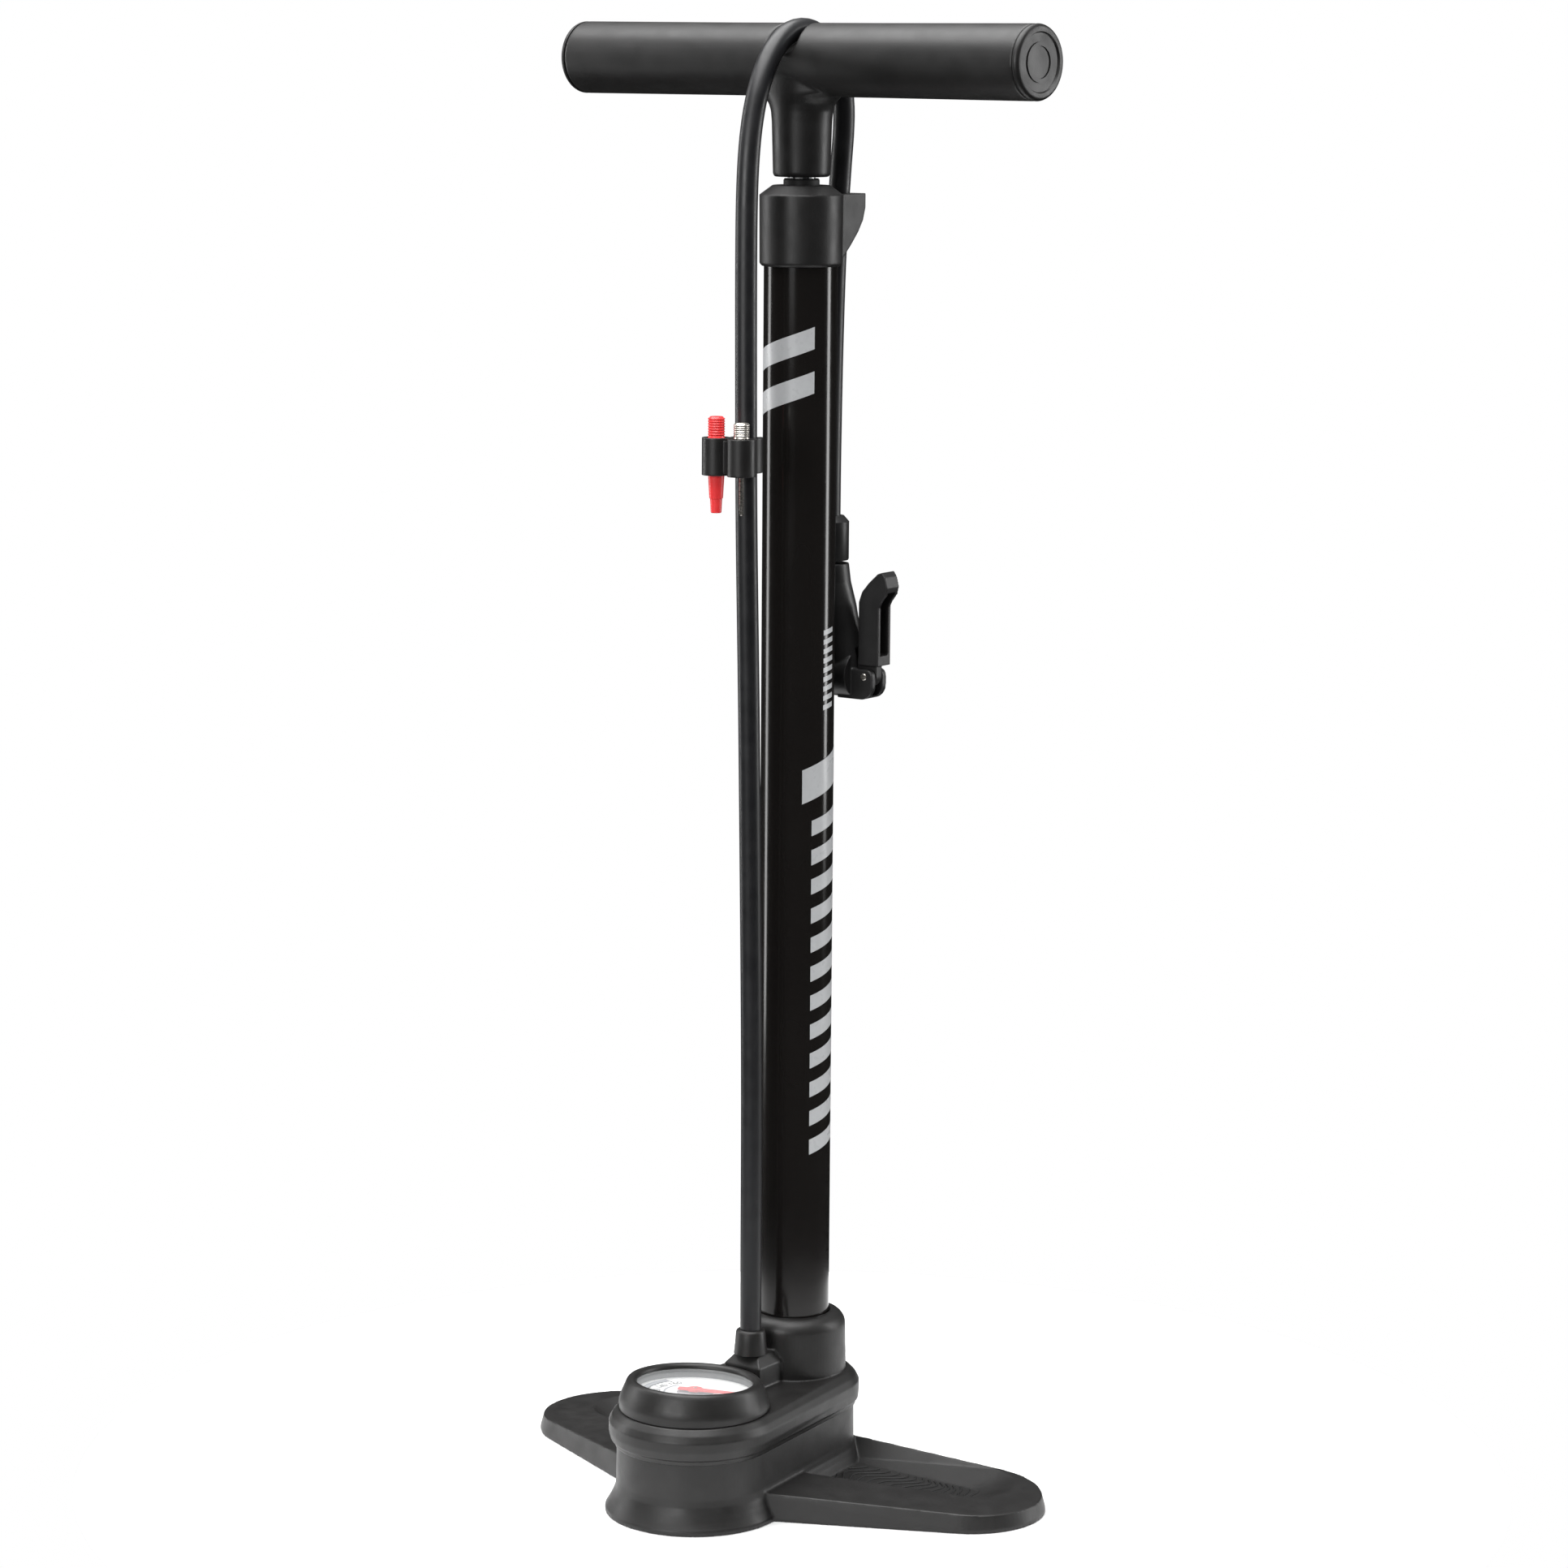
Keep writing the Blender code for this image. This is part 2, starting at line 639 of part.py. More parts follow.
def make_rod_and_piston():
    """The rod, with its stud through the piston, and the piston with its seal and nut."""
    profile = [(0, 602.0), (ROD_R, 602.0), (ROD_R, PISTON_HIGH + GAP), (STUD_R, PISTON_HIGH + GAP)]
    profile += [(STUD_R, 40.0), (0, 40.0)]
    shaft = turned("rod", profile, STEEL, segments=24)
    hole = rod("rod_pin_hole", 1.8, (0, -20, 589), (0, 20, 589), None, 16)
    cut(shaft, hole)
    turn_about_barrel([shaft, hole])
    piston = [
        (PISTON_R, PISTON_HIGH),
        (PISTON_R, 54.2),
        (12.4, 54.2),
        (12.4, 50.0),
        (PISTON_R, 50.0),
        (PISTON_R, PISTON_LOW),
        (STUD_R + GAP, PISTON_LOW),
        (STUD_R + GAP, PISTON_HIGH),
    ]
    turned("piston", piston, GREY_PLASTIC, segments=24)
    seal_ring("piston_seal", 12.7, 14.6, 50.2, 54.0, RUBBER)
    nut = rod("piston_nut", 6.6, (0, 0, 41.0), (0, 0, PISTON_LOW - GAP), STEEL, 6)
    cut(nut, rod("nut_thread", STUD_R + GAP, (0, 0, 30), (0, 0, 50), None, 24))


def neck_loops():
    """The neck below the grip, which flares along the grip where it joins it."""
    steps = ((575.3, 11.2, 1.0), (576.6, 12.3, 1.0), (599.0, 13.0, 1.0), (603.5, 13.2, 1.03))
    steps += ((606.5, 13.4, 1.13), (609.0, 13.7, 1.33), (611.0, 13.9, 1.62), (620.0, 14.0, 1.8))
    return [circle(radius, z, 32, wide=wide) for z, radius, wide in steps]


def make_handle():
    """The grip with its neck, the saddle that the hose lies in, and a plug in each end."""
    end = HANDLE_HALF - PLUG_FLANGE
    half = [(HANDLE_R, end), (HANDLE_WAIST_R, 40.0)]
    profile = [(0, end), *half, (HANDLE_WAIST_R, -40.0), (HANDLE_R, -end), (0, -end)]
    handle = turned("handle", profile, BLACK, (0, 0, HANDLE_Z), 40, (1, 0, 0))
    tools = [lofted("neck", neck_loops(), None)]
    fuse(handle, tools[0])
    tools.append(lofted("saddle", saddle_loops(), None))
    tools.append(rod("rod_socket", ROD_R + GAP, (0, 0, 560), (0, 0, 602.5), None, 24))
    tools.append(rod("pin_hole", 1.8, (0, -20, 589), (0, 20, 589), None, 16))
    for side in (-1, 1):
        start = (side * (end - 14), 0, HANDLE_Z)
        tools.append(rod(f"plug_bore_{side}", 11.3, start, (side * (end + 5), 0, HANDLE_Z), None, 24))
    cut(handle, *tools[1:])
    pieces = [handle, *tools, *make_end_plugs(end)]
    pieces.append(rod("handle_pin", 1.5, (0, -11.8, 589), (0, 11.8, 589), STEEL, 16))
    turn_about_barrel(pieces)


def saddle_loops():
    """The saddle swept over the grip on the hose's arch. It is wider towards the grip's two sides."""
    half = [(24.3, 1.8), (25.2, 4.3), (27.3, 5.7), (30.0, 6.3), (32.4, 7.0), (34.3, 8.7), (38.0, 13.0)]
    section = half + [(radius, -x) for radius, x in reversed(half)]
    loops = []
    for i in range(11):
        angle = math.radians(-60 + 12 * i)
        spread = 1 + 0.95 * abs(math.sin(angle))
        out, up = math.sin(angle), math.cos(angle)
        loops.append([(x * spread, r * out, CREST_Z - ARCH_R + r * up) for r, x in section])
    return loops


def make_end_plugs(end):
    plugs = []
    for name, side in (("left", -1), ("right", 1)):
        profile = [
            (0, PLUG_FLANGE),
            (14.3, PLUG_FLANGE),
            (15.2, PLUG_FLANGE - 0.5),
            (15.7, PLUG_FLANGE - 1.4),
            (15.8, GAP),
            (11.0, GAP),
            (11.0, -11.0),
            (0, -11.0),
        ]
        at = (side * end, 0, HANDLE_Z)
        plugs.append(turned(f"end_plug_{name}", profile, BLACK, at, 40, (side, 0, 0)))
    return plugs


def turn_about_barrel(objects):
    """Turns the grip's pieces about the barrel's axis, to the angle that the grip stands at."""
    turn = Matrix.Rotation(HANDLE_TURN, 4, "Z")
    bpy.context.view_layer.update()
    for obj in objects:
        obj.matrix_world = turn @ obj.matrix_world


def head_section(height, x, along, across):
    """A loop of the head's body, centred x past the hose's axis."""
    loop = circle(across, height, 28, wide=along / across)
    return [(HEAD_X + x + px, HEAD_Y + py, z) for px, py, z in loop]


def make_head():
    """The lever head: ferrule, body, nose cap, gasket, plunger, lever and the lever's pin."""
    ferrule = [(6.2, 427.0), (8.5, 424.5), (8.5, 407.4), (HOSE_R + GAP, 407.4), (HOSE_R + GAP, 427.0)]
    turned("head_ferrule", ferrule, BLACK, (HEAD_X, HEAD_Y, 0), 28)
    steps = [(406.0, 0.0, 8.6, 8.5), (398.0, 0.4, 9.4, 8.8), (388.0, 1.6, 11.4, 9.2), (376.0, 2.6, 13.0, 9.4)]
    steps += [(366.0, 3.6, 14.0, 9.6), (357.0, 4.0, 14.4, 9.6)]
    body = lofted("head_body", [head_section(*step) for step in reversed(steps)], BLACK)
    fuse(body, rod("head_chamber", CHAMBER_R, (-17, HEAD_Y, PIVOT_Z), (13, HEAD_Y, PIVOT_Z), None, 28))
    fuse(body, make_cheeks())
    slot = [(PIVOT_X - 8.8, HEAD_Y - 2.6, PIVOT_Z - 8.8), (PIVOT_X + 20, HEAD_Y + 2.6, PIVOT_Z + 12)]
    cut(body, box("cam_slot", *slot, None))
    cut(body, rod("plunger_bore", 3.3, (-30, HEAD_Y, PIVOT_Z), (16, HEAD_Y, PIVOT_Z), None, 16))
    cut(body, rod("gasket_seat", 7.3, (-30, HEAD_Y, PIVOT_Z), (-10.1, HEAD_Y, PIVOT_Z), None, 24))
    cut(body, rod("cheek_hole", 2.0, (PIVOT_X, HEAD_Y - 20, PIVOT_Z), (PIVOT_X, HEAD_Y + 20, PIVOT_Z), None, 20))
    with_manifold_solver(body)
    cap = [(8.4, 26.0), (10.0, 24.6), (10.0, 17.3), (4.4, 17.3), (4.4, 26.0)]
    turned("nose_cap", cap, BLACK, (0, HEAD_Y, PIVOT_Z), 28, (-1, 0, 0))
    gasket = [(7.0, 16.7), (7.0, 10.4), (3.9, 10.4), (3.9, 16.7)]
    turned("head_gasket", gasket, RUBBER, (0, HEAD_Y, PIVOT_Z), 24, (-1, 0, 0))
    rod("valve_plunger", 3.0, (-9.5, HEAD_Y, PIVOT_Z), (13.8, HEAD_Y, PIVOT_Z), GREY_PLASTIC, 24)
    rod("lever_pin", 1.7, (PIVOT_X, HEAD_Y - 5.9, PIVOT_Z), (PIVOT_X, HEAD_Y + 5.9, PIVOT_Z), NICKEL, 20)
    make_lever()


def make_cheeks():
    """The two cheeks that hold the lever's pin, still joined. The cam's slot parts them."""
    corner = arc((PIVOT_X + 1.4, PIVOT_Z), 3.2, math.pi / 2, 0, 6)
    heel = arc((PIVOT_X - 1.6, PIVOT_Z - 4.0), 6.2, 0, -math.pi / 2, 7)
    outline = [(6.0, PIVOT_Z + 3.2)] + corner + heel + [(6.0, PIVOT_Z - 10.2)]
    return extruded("cheeks", outline, HEAD_Y - 5.6, HEAD_Y + 5.6, None, "XZ")


def make_lever():
    """The thumb lever: a channel that opens outwards, a swept tip, and the cam round its pin."""
    outline = [
        (16.2, 362.6),
        (27.0, 362.6),
        (27.0, 388.5),
        (28.2, 391.0),
        (30.6, 394.2),
        (31.4, 397.6),
        (30.2, 402.0),
        (28.6, 404.2),
        (26.2, 403.4),
        (21.6, 399.2),
        (18.0, 395.0),
        (16.4, 390.5),
    ]
    lever = extruded("lever", outline, HEAD_Y - 4.7, HEAD_Y + 4.7, BLACK, "XZ")
    channel = [(19.0, 367.0), (40.0, 367.0), (40.0, 389.0), (29.0, 396.0), (24.0, 394.5), (19.0, 388.0)]
    cut(lever, extruded("lever_channel", channel, HEAD_Y - 3.1, HEAD_Y + 3.1, None, "XZ"))
    fuse(lever, extruded("cam", cam_outline(), HEAD_Y - 2.3, HEAD_Y + 2.3, None, "XZ"))
    cut(lever, rod("cam_hole", 2.0, (PIVOT_X, HEAD_Y - 9, PIVOT_Z), (PIVOT_X, HEAD_Y + 9, PIVOT_Z), None, 20))
    return lever


def cam_outline():
    """The cam: its radius grows by an even amount for each degree from -X down to -Z."""
    points = [(PIVOT_X - CAM_START_R, PIVOT_Z + 8.0)]
    for i in range(13):
        share = i / 12
        radius = CAM_START_R + CAM_LIFT * share
        angle = math.pi + share * math.pi / 2
        points.append((PIVOT_X + radius * math.cos(angle), PIVOT_Z + radius * math.sin(angle)))
    for i in range(1, 9):
        share = i / 8
        radius = CAM_START_R + CAM_LIFT - (CAM_LIFT + 0.9) * share
        angle = 1.5 * math.pi + share * math.pi / 2
        points.append((PIVOT_X + radius * math.cos(angle), PIVOT_Z + radius * math.sin(angle)))
    points.append((PIVOT_X + CAM_START_R - 0.9, PIVOT_Z + 8.0))
    return points


clear_scene()
PARTS = new_collection("floor_pump")
CUTTERS = new_collection("cutters")

BLACK = material("black_plastic", (0.02, 0.02, 0.021), 0.5)
GLOSS_BLACK = material("gloss_black_paint", (0.008, 0.008, 0.009), 0.12, 0.2)
RUBBER = material("black_rubber", (0.015, 0.015, 0.016), 0.65)
HOSE_BLACK = material("hose_rubber", (0.018, 0.019, 0.023), 0.4)
GREY_PLASTIC = material("grey_plastic", (0.18, 0.18, 0.19), 0.45)
STEEL = material("steel", (0.62, 0.63, 0.64), 0.28, 1.0)
NICKEL = material("nickel", (0.72, 0.70, 0.66), 0.25, 1.0)
BRASS = material("brass", (0.72, 0.52, 0.24), 0.35, 1.0)
RED = material("red_plastic", (0.75, 0.03, 0.03), 0.4)
WHITE = material("dial_white", (0.85, 0.85, 0.84), 0.5)
CLEAR = material("clear_lens", (0.95, 0.96, 0.97), 0.05, 0.0, 0.3)

make_base_body()
make_base_cover()
make_barrel()
make_barrel_cap()
make_guide_bush()
make_foot_plug()
make_manifold()
make_cover_screws()
make_gauge()
make_hose_ferrule()
tube("hose", smooth_route(HOSE_ROUTE, 12.0), HOSE_R, HOSE_BLACK, 2)
make_accessory_clip()
make_adaptors()
make_rod_and_piston()
make_handle()
make_head()
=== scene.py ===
"""The looks of the floor pump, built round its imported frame.

The object's lengths are in millimetres until they reach Blender, which takes metres. Names with LOW and HIGH
are heights, and names with R are radii. The floor is at Z = 0, the barrel stands on the Z axis and the gauge
is on its -Y side.
"""

import math

import bmesh
import bpy
from mathutils import Matrix, Vector


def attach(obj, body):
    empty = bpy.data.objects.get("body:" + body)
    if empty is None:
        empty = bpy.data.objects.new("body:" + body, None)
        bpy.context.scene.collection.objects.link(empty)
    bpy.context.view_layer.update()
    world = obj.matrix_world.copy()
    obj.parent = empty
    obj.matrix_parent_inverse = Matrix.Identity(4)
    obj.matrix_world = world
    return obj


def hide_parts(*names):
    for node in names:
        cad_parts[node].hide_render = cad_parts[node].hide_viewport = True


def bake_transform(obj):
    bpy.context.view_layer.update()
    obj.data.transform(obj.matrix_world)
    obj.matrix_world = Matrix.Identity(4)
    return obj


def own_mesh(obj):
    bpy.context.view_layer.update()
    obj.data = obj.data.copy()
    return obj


MM = 0.001

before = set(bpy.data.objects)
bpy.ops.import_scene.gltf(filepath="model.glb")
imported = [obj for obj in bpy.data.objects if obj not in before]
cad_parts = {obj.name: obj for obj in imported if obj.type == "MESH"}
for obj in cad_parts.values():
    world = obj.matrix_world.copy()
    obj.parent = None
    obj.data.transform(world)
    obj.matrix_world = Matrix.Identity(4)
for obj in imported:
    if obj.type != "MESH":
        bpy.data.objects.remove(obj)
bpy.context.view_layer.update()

GAP = 0.3  # clearance between neighbouring parts

# Barrel, rod and cap
BARREL_R, BARREL_BORE_R = 16.0, 14.8
BARREL_LOW, BARREL_HIGH = 18.6, 560.0
ROD_R = 6.0
CAP_R, CAP_LOW, CAP_EDGE, CAP_HIGH = 18.1, 537.2, 567.6, 571.8
CAP_BORE_R, CAP_ROOF = 16.2, 562.5
BUSH_HOLE_R = 8.4
HOOK_WIDE, HOOK_INSIDE, HOOK_REACH, HOOK_LIP = 8.2, 5.2, 37.4, 34.6
DECAL_IN, DECAL_OUT = 15.98, 16.06

# Handle
HANDLE_Z, HANDLE_R, HANDLE_WAIST_R = 624.9, 15.8, 15.6
HANDLE_HALF, HANDLE_WAIST_HALF = 130.4, 40.0
HANDLE_TURN = math.radians(-6.8)
PLUG_FLANGE, PLUG_SPIGOT_R = 2.7, 11.0

# Base
BODY_R, BODY_BACK_R, BODY_HIGH = 33.8, 27.5, 36.0
COVER_HIGH, COVER_R, COVER_BACK_R = 46.0, 37.3, 29.9
COLLAR_R, COLLAR_HIGH, COLLAR_SHOULDER = 23.5, 73.0, 6.6
PEG_TIP = Vector((97.0, -4.5))
PEG_TIP_R = 34.0
PEG_FRONT_SLOPE, PEG_BACK_SLOPE = math.radians(24.7), math.radians(5.7)
PEG_FLOOR = 4.0
DISH_START, DISH_END = -1.35, 1.5
CONTOURS, CONTOUR_STEP, CONTOUR_R = 15, 4.6, 0.6

# Gauge
GAUGE_Y = -74.4
GAUGE_TILT = math.radians(3.0)
DIAL_R, DIAL = 26.4, 6.2  # DIAL is the height of the dial's face over the cover
DIAL_ZERO, DIAL_SWEEP = math.radians(22), math.radians(224)
FIGURE_STEP, FIGURES, TICKS_EACH = 20, 8, 4
INK = 0.06

# Hose, clip and head
HOSE_R = 4.7
PORT_Y, PORT_HIGH = -32.6, 60.0
CREST_Z, ARCH_R = 637.9, 30.0
CLIP_LOW, CLIP_HIGH, CLIP_HOSE_Y = 450.5, 466.5, -39.7
CLIP_R, SOCKET_R = 7.2, 6.2
SOCKET_X, SOCKET_Y = 6.6, -52.3
HEAD_X, HEAD_Y = -2.5, 27.4
PIVOT_X, PIVOT_Z, CHAMBER_R = 19.9, 357.6, 10.2
PIN_R, PIN_HALF = 1.7, 5.9

# Stage, and the camera, whose distances are in metres
FLOOR_R = 320.0
CAMERA_TURN, CAMERA_PITCH, CAMERA_ROLL = math.radians(35.05), math.radians(9.5), math.radians(0.41)
CAMERA_DISTANCE, CAMERA_AIM_Z, CAMERA_SIDE = 1.96014, 0.31086, -0.00568
LENS_MM, SENSOR_MM = 102.48, 36

# The middle of the hose, from its port over the handle to the head
HOSE_ROUTE = (
    (0, -32.6, 61.5),
    (0, -32.6, 95),
    (0, -33.1, 195),
    (0, -36.3, 335),
    (0, -39.2, 430),
    (0, -40.2, 500),
    (0, -40.5, 545),
    (0, -40.0, 572),
    (0, -38.2, 591),
    (0, -34.7, 606),
    (0, -29.4, 618),
    (0, -21.7, 628.6),
    (0, -11.5, 635.6),
    (0, 0, CREST_Z),
    (0, 11.5, 635.6),
    (0, 21.7, 628.6),
    (0, 28.6, 618),
    (0, 31.6, 606),
    (0, 31.6, 594),
    (-0.2, 30.3, 580),
    (-0.7, 29.0, 560),
    (-1.3, 28.0, 533),
    (-2.0, 27.6, 495),
    (-2.4, 27.4, 455),
    (HEAD_X, HEAD_Y, 430),
    (HEAD_X, HEAD_Y, 409),
)


# ---------------------------------------------------------------- materials


class Nodes:
    """A material's node tree, with short ways to add and link nodes."""

    def __init__(self, name):
        self.material = bpy.data.materials.new(name)
        self.material.use_nodes = True
        self.tree = self.material.node_tree
        self.shader = self.tree.nodes["Principled BSDF"]
        self.place = self.add("ShaderNodeTexCoord").outputs["Object"]

    def add(self, kind, **values):
        node = self.tree.nodes.new(kind)
        for name, value in values.items():
            node.inputs[name.replace("_", " ")].default_value = value
        return node

    def link(self, source, target):
        self.tree.links.new(source, target)

    def set(self, **values):
        for name, value in values.items():
            socket = self.shader.inputs[name.replace("_", " ")]
            socket.default_value = (*value, 1.0) if isinstance(value, tuple) else value

    def noise(self, scale, detail=2.0, roughness=0.5):
        node = self.add("ShaderNodeTexNoise", Scale=scale, Detail=detail, Roughness=roughness)
        self.link(self.place, node.inputs["Vector"])
        return node.outputs["Fac"]

    def spread(self, source, low, high, start=0.3, end=0.7):
        """source, from start to end, brought to low to high."""
        node = self.add("ShaderNodeMapRange")
        limits = {"From Min": start, "From Max": end, "To Min": low, "To Max": high}
        for name, value in limits.items():
            node.inputs[name].default_value = value
        self.link(source, node.inputs["Value"])
        return node.outputs["Result"]

    def colours(self, source, first, second):
        node = self.tree.nodes.new("ShaderNodeMix")
        node.data_type = "RGBA"
        node.inputs["A"].default_value = (*first, 1.0)
        node.inputs["B"].default_value = (*second, 1.0)
        self.link(source, node.inputs["Factor"])
        self.link(node.outputs["Result"], self.shader.inputs["Base Color"])

    def bump(self, source, distance, strength=1.0):
        node = self.add("ShaderNodeBump", Strength=strength, Distance=distance)
        self.link(source, node.inputs["Height"])
        self.link(node.outputs["Normal"], self.shader.inputs["Normal"])


def moulded_plastic(name, dark, light, rough):
    """Satin moulded plastic: fine grain, soft patches of gloss and slight changes of tone."""
    look = Nodes(name)
    look.colours(look.spread(look.noise(45.0, 3.0), 0.0, 1.0), dark, light)
    look.link(look.spread(look.noise(120.0, 4.0), rough[0], rough[1]), look.shader.inputs["Roughness"])
    look.bump(look.noise(1300.0, 3.0, 0.6), 0.00004, 0.8)
    look.set(Specular_IOR_Level=0.45)
    return look.material


def gloss_paint():
    """Gloss black enamel, slightly brown, with faint orange peel."""
    look = Nodes("barrel_gloss_black")
    tone = look.spread(look.noise(12.0), 0.0, 1.0)
    look.colours(tone, (0.0085, 0.0076, 0.0071), (0.0104, 0.0092, 0.0086))
    look.link(look.spread(look.noise(60.0, 3.0), 0.13, 0.17), look.shader.inputs["Roughness"])
    look.bump(look.noise(350.0, 1.0), 0.00002, 0.15)
    look.set(Specular_IOR_Level=0.32)
    return look.material


def hose_rubber():
    """Smooth extruded rubber with a faint bluish bloom."""
    look = Nodes("hose_rubber_fine")
    bloom = look.spread(look.noise(70.0, 3.0), 0.0, 1.0)
    look.colours(bloom, (0.0068, 0.0070, 0.0082), (0.0105, 0.0108, 0.0125))
    look.link(look.spread(look.noise(160.0, 3.0), 0.36, 0.46), look.shader.inputs["Roughness"])
    look.bump(look.noise(900.0, 2.0), 0.00002, 0.35)
    return look.material


def red_plastic():
    """Bright red plastic that lets a little light in."""
    look = Nodes("red_plastic_fine")
    look.colours(look.spread(look.noise(180.0), 0.0, 1.0), (0.82, 0.036, 0.040), (0.90, 0.050, 0.052))
    look.link(look.spread(look.noise(300.0), 0.30, 0.40), look.shader.inputs["Roughness"])
    look.bump(look.noise(1600.0), 0.00002, 0.3)
    look.set(Subsurface_Weight=0.08)
    look.shader.inputs["Subsurface Radius"].default_value = (0.002, 0.0005, 0.0004)
    return look.material


def metal(name, colour, rough):
    """Turned or drawn metal, with fine marks that run round it."""
    look = Nodes(name)
    stretch = look.add("ShaderNodeMapping", Scale=(1.0, 1.0, 14.0))
    look.link(look.place, stretch.inputs["Vector"])
    marks = look.add("ShaderNodeTexNoise", Scale=400.0, Detail=3.0)
    look.link(stretch.outputs["Vector"], marks.inputs["Vector"])
    look.link(look.spread(marks.outputs["Fac"], rough[0], rough[1]), look.shader.inputs["Roughness"])
    look.bump(marks.outputs["Fac"], 0.00001, 0.3)
    look.set(Base_Color=colour, Metallic=1.0)
    return look.material


def printed(name, colour, rough=0.42):
    """Printed ink or paper: even colour, with the least mottle."""
    look = Nodes(name)
    second = tuple(channel * 0.95 for channel in colour)
    look.colours(look.spread(look.noise(500.0, 3.0), 0.0, 1.0), colour, second)
    look.link(look.spread(look.noise(250.0), rough - 0.04, rough + 0.04), look.shader.inputs["Roughness"])
    return look.material


def clear_lens():
    """Clear polycarbonate with a light haze."""
    look = Nodes("lens_clear")
    look.link(look.spread(look.noise(90.0, 2.0), 0.03, 0.07), look.shader.inputs["Roughness"])
    look.set(Base_Color=(0.92, 0.94, 0.95), Alpha=0.16, IOR=1.58)
    look.material.surface_render_method = "BLENDED"
    return look.material


BLACK = moulded_plastic("black_moulded", (0.0080, 0.0077, 0.0077), (0.0118, 0.0114, 0.0113), (0.38, 0.48))
BASE_BLACK = moulded_plastic(
    "black_moulded_base", (0.0078, 0.0074, 0.0072), (0.0118, 0.0112, 0.0109), (0.40, 0.52)
)
COVER_BLACK = moulded_plastic(
    "black_moulded_cover", (0.0080, 0.0076, 0.0073), (0.0130, 0.0124, 0.0120), (0.38, 0.50)
)
HEAD_BLACK = moulded_plastic(
    "black_moulded_head", (0.0115, 0.0113, 0.0115), (0.0155, 0.0152, 0.0155), (0.36, 0.46)
)
# Near-black: painted shade standing in for the shade in the dish's contour grooves; the plastic itself is the
# base's black.
GROOVE_PAINTED_SHADE = moulded_plastic(
    "black_moulded_groove_painted_shade", (0.0015, 0.0015, 0.0015), (0.0025, 0.0025, 0.0025), (0.6, 0.7)
)
SEAL_BLACK = moulded_plastic("seal_rubber_fine", (0.012, 0.012, 0.012), (0.017, 0.017, 0.017), (0.55, 0.68))
GREY = moulded_plastic("grey_moulded", (0.15, 0.15, 0.155), (0.19, 0.19, 0.195), (0.4, 0.5))
ENAMEL = gloss_paint()
HOSE = hose_rubber()
RED = red_plastic()
NICKEL = metal("nickel_fine", (0.66, 0.63, 0.58), (0.22, 0.36))
STEEL = metal("steel_fine", (0.58, 0.585, 0.59), (0.2, 0.34))
BRASS = metal("brass_fine", (0.68, 0.50, 0.24), (0.28, 0.42))
DECAL = printed("decal_pale", (0.50, 0.51, 0.52), 0.3)
PAPER = printed("dial_paper", (0.84, 0.84, 0.83), 0.5)
INK_DARK = printed("dial_ink_dark", (0.05, 0.05, 0.055), 0.5)
INK_GREY = printed("dial_ink_grey", (0.30, 0.31, 0.33), 0.5)
LENS = clear_lens()


# ---------------------------------------------------------------- modelling helpers


def add_object(name, mesh, look=None):
    """A new object in the scene for a mesh, with its material."""
    obj = bpy.data.objects.new(name, mesh)
    bpy.context.scene.collection.objects.link(obj)
    if look:
        mesh.materials.append(look)
    return obj


def mesh_from(name, grid):
    """A mesh from a bmesh, with its faces pointing out. The bmesh is freed."""
    mesh = bpy.data.meshes.new(name)
    bmesh.ops.recalc_face_normals(grid, faces=grid.faces)
    grid.to_mesh(mesh)
    grid.free()
    return mesh


def smooth(obj, angle=35):
    """Shades an object smooth, apart from edges sharper than an angle in degrees."""
    obj.data.shade_smooth()
    obj.data.set_sharp_from_angle(angle=math.radians(angle))
    return obj


def lofted(name, loops, look=None, ring=False):
    """A skin over loops of points with equal counts, with flat ends, or closed on itself as a ring."""
    grid = bmesh.new()
    rows = [[grid.verts.new(Vector(p) * MM) for p in loop] for loop in loops]
    pairs = list(zip(rows, rows[1:]))
    if ring:
        pairs.append((rows[-1], rows[0]))
    for low, high in pairs:
        for i in range(len(low)):
            j = (i + 1) % len(low)
            grid.faces.new((low[i], low[j], high[j], high[i]))
    if not ring:
        grid.faces.new(rows[0])
        grid.faces.new(rows[-1])
    return add_object(name, mesh_from(name, grid), look)


def turned(name, profile, look=None, at=(0, 0, 0), segments=96, along=(0, 0, 1)):
    """A profile of (radius, height) points turned about its own Z. One that starts off the axis is a ring."""
    place = Matrix.Translation(Vector(at)) @ Vector(along).to_track_quat("Z", "Y").to_matrix().to_4x4()
    ring = profile[0][0] > 0
    inner = profile if ring else profile[1:-1]
    loops = [[place @ Vector(p) for p in circle(radius, height, segments)] for radius, height in inner]
    return smooth(lofted(name, loops, look, ring))


def rod(name, radius, start, end, look=None, segments=64):
    """A straight round bar between two points."""
    length = (Vector(end) - Vector(start)).length
    profile = [(0, length), (radius, length), (radius, 0), (0, 0)]
    return turned(name, profile, look, start, segments, Vector(end) - Vector(start))


def extruded(name, outline, low, high, look=None, plane="XY"):
    """A flat outline carried from low to high, across the plane that it is drawn in."""
    if plane == "XY":
        loops = [[(x, y, level) for x, y in outline] for level in (low, high)]
    else:
        loops = [[(x, level, z) for x, z in outline] for level in (low, high)]
    return lofted(name, loops, look)


def box(name, low, high):
    """A plain box between two corners, used as a cutter."""
    outline = [(low[0], low[1]), (high[0], low[1]), (high[0], high[1]), (low[0], high[1])]
    return extruded(name, outline, low[2], high[2])


def combined(obj, others, operation):
    """obj joined with the others, or cut by them. The others are removed."""
    for other in others:
        step = obj.modifiers.new(operation.lower(), "BOOLEAN")
        step.object = other
        step.operation = operation
        step.solver = "MANIFOLD"
        baked(obj)
        bpy.data.objects.remove(other, do_unlink=True)
    return obj


def fuse(obj, *others):
    """obj with the others joined to it."""
    return combined(obj, others, "UNION")


def cut(obj, *others):
    """obj with the others cut out of it."""
    return combined(obj, others, "DIFFERENCE")


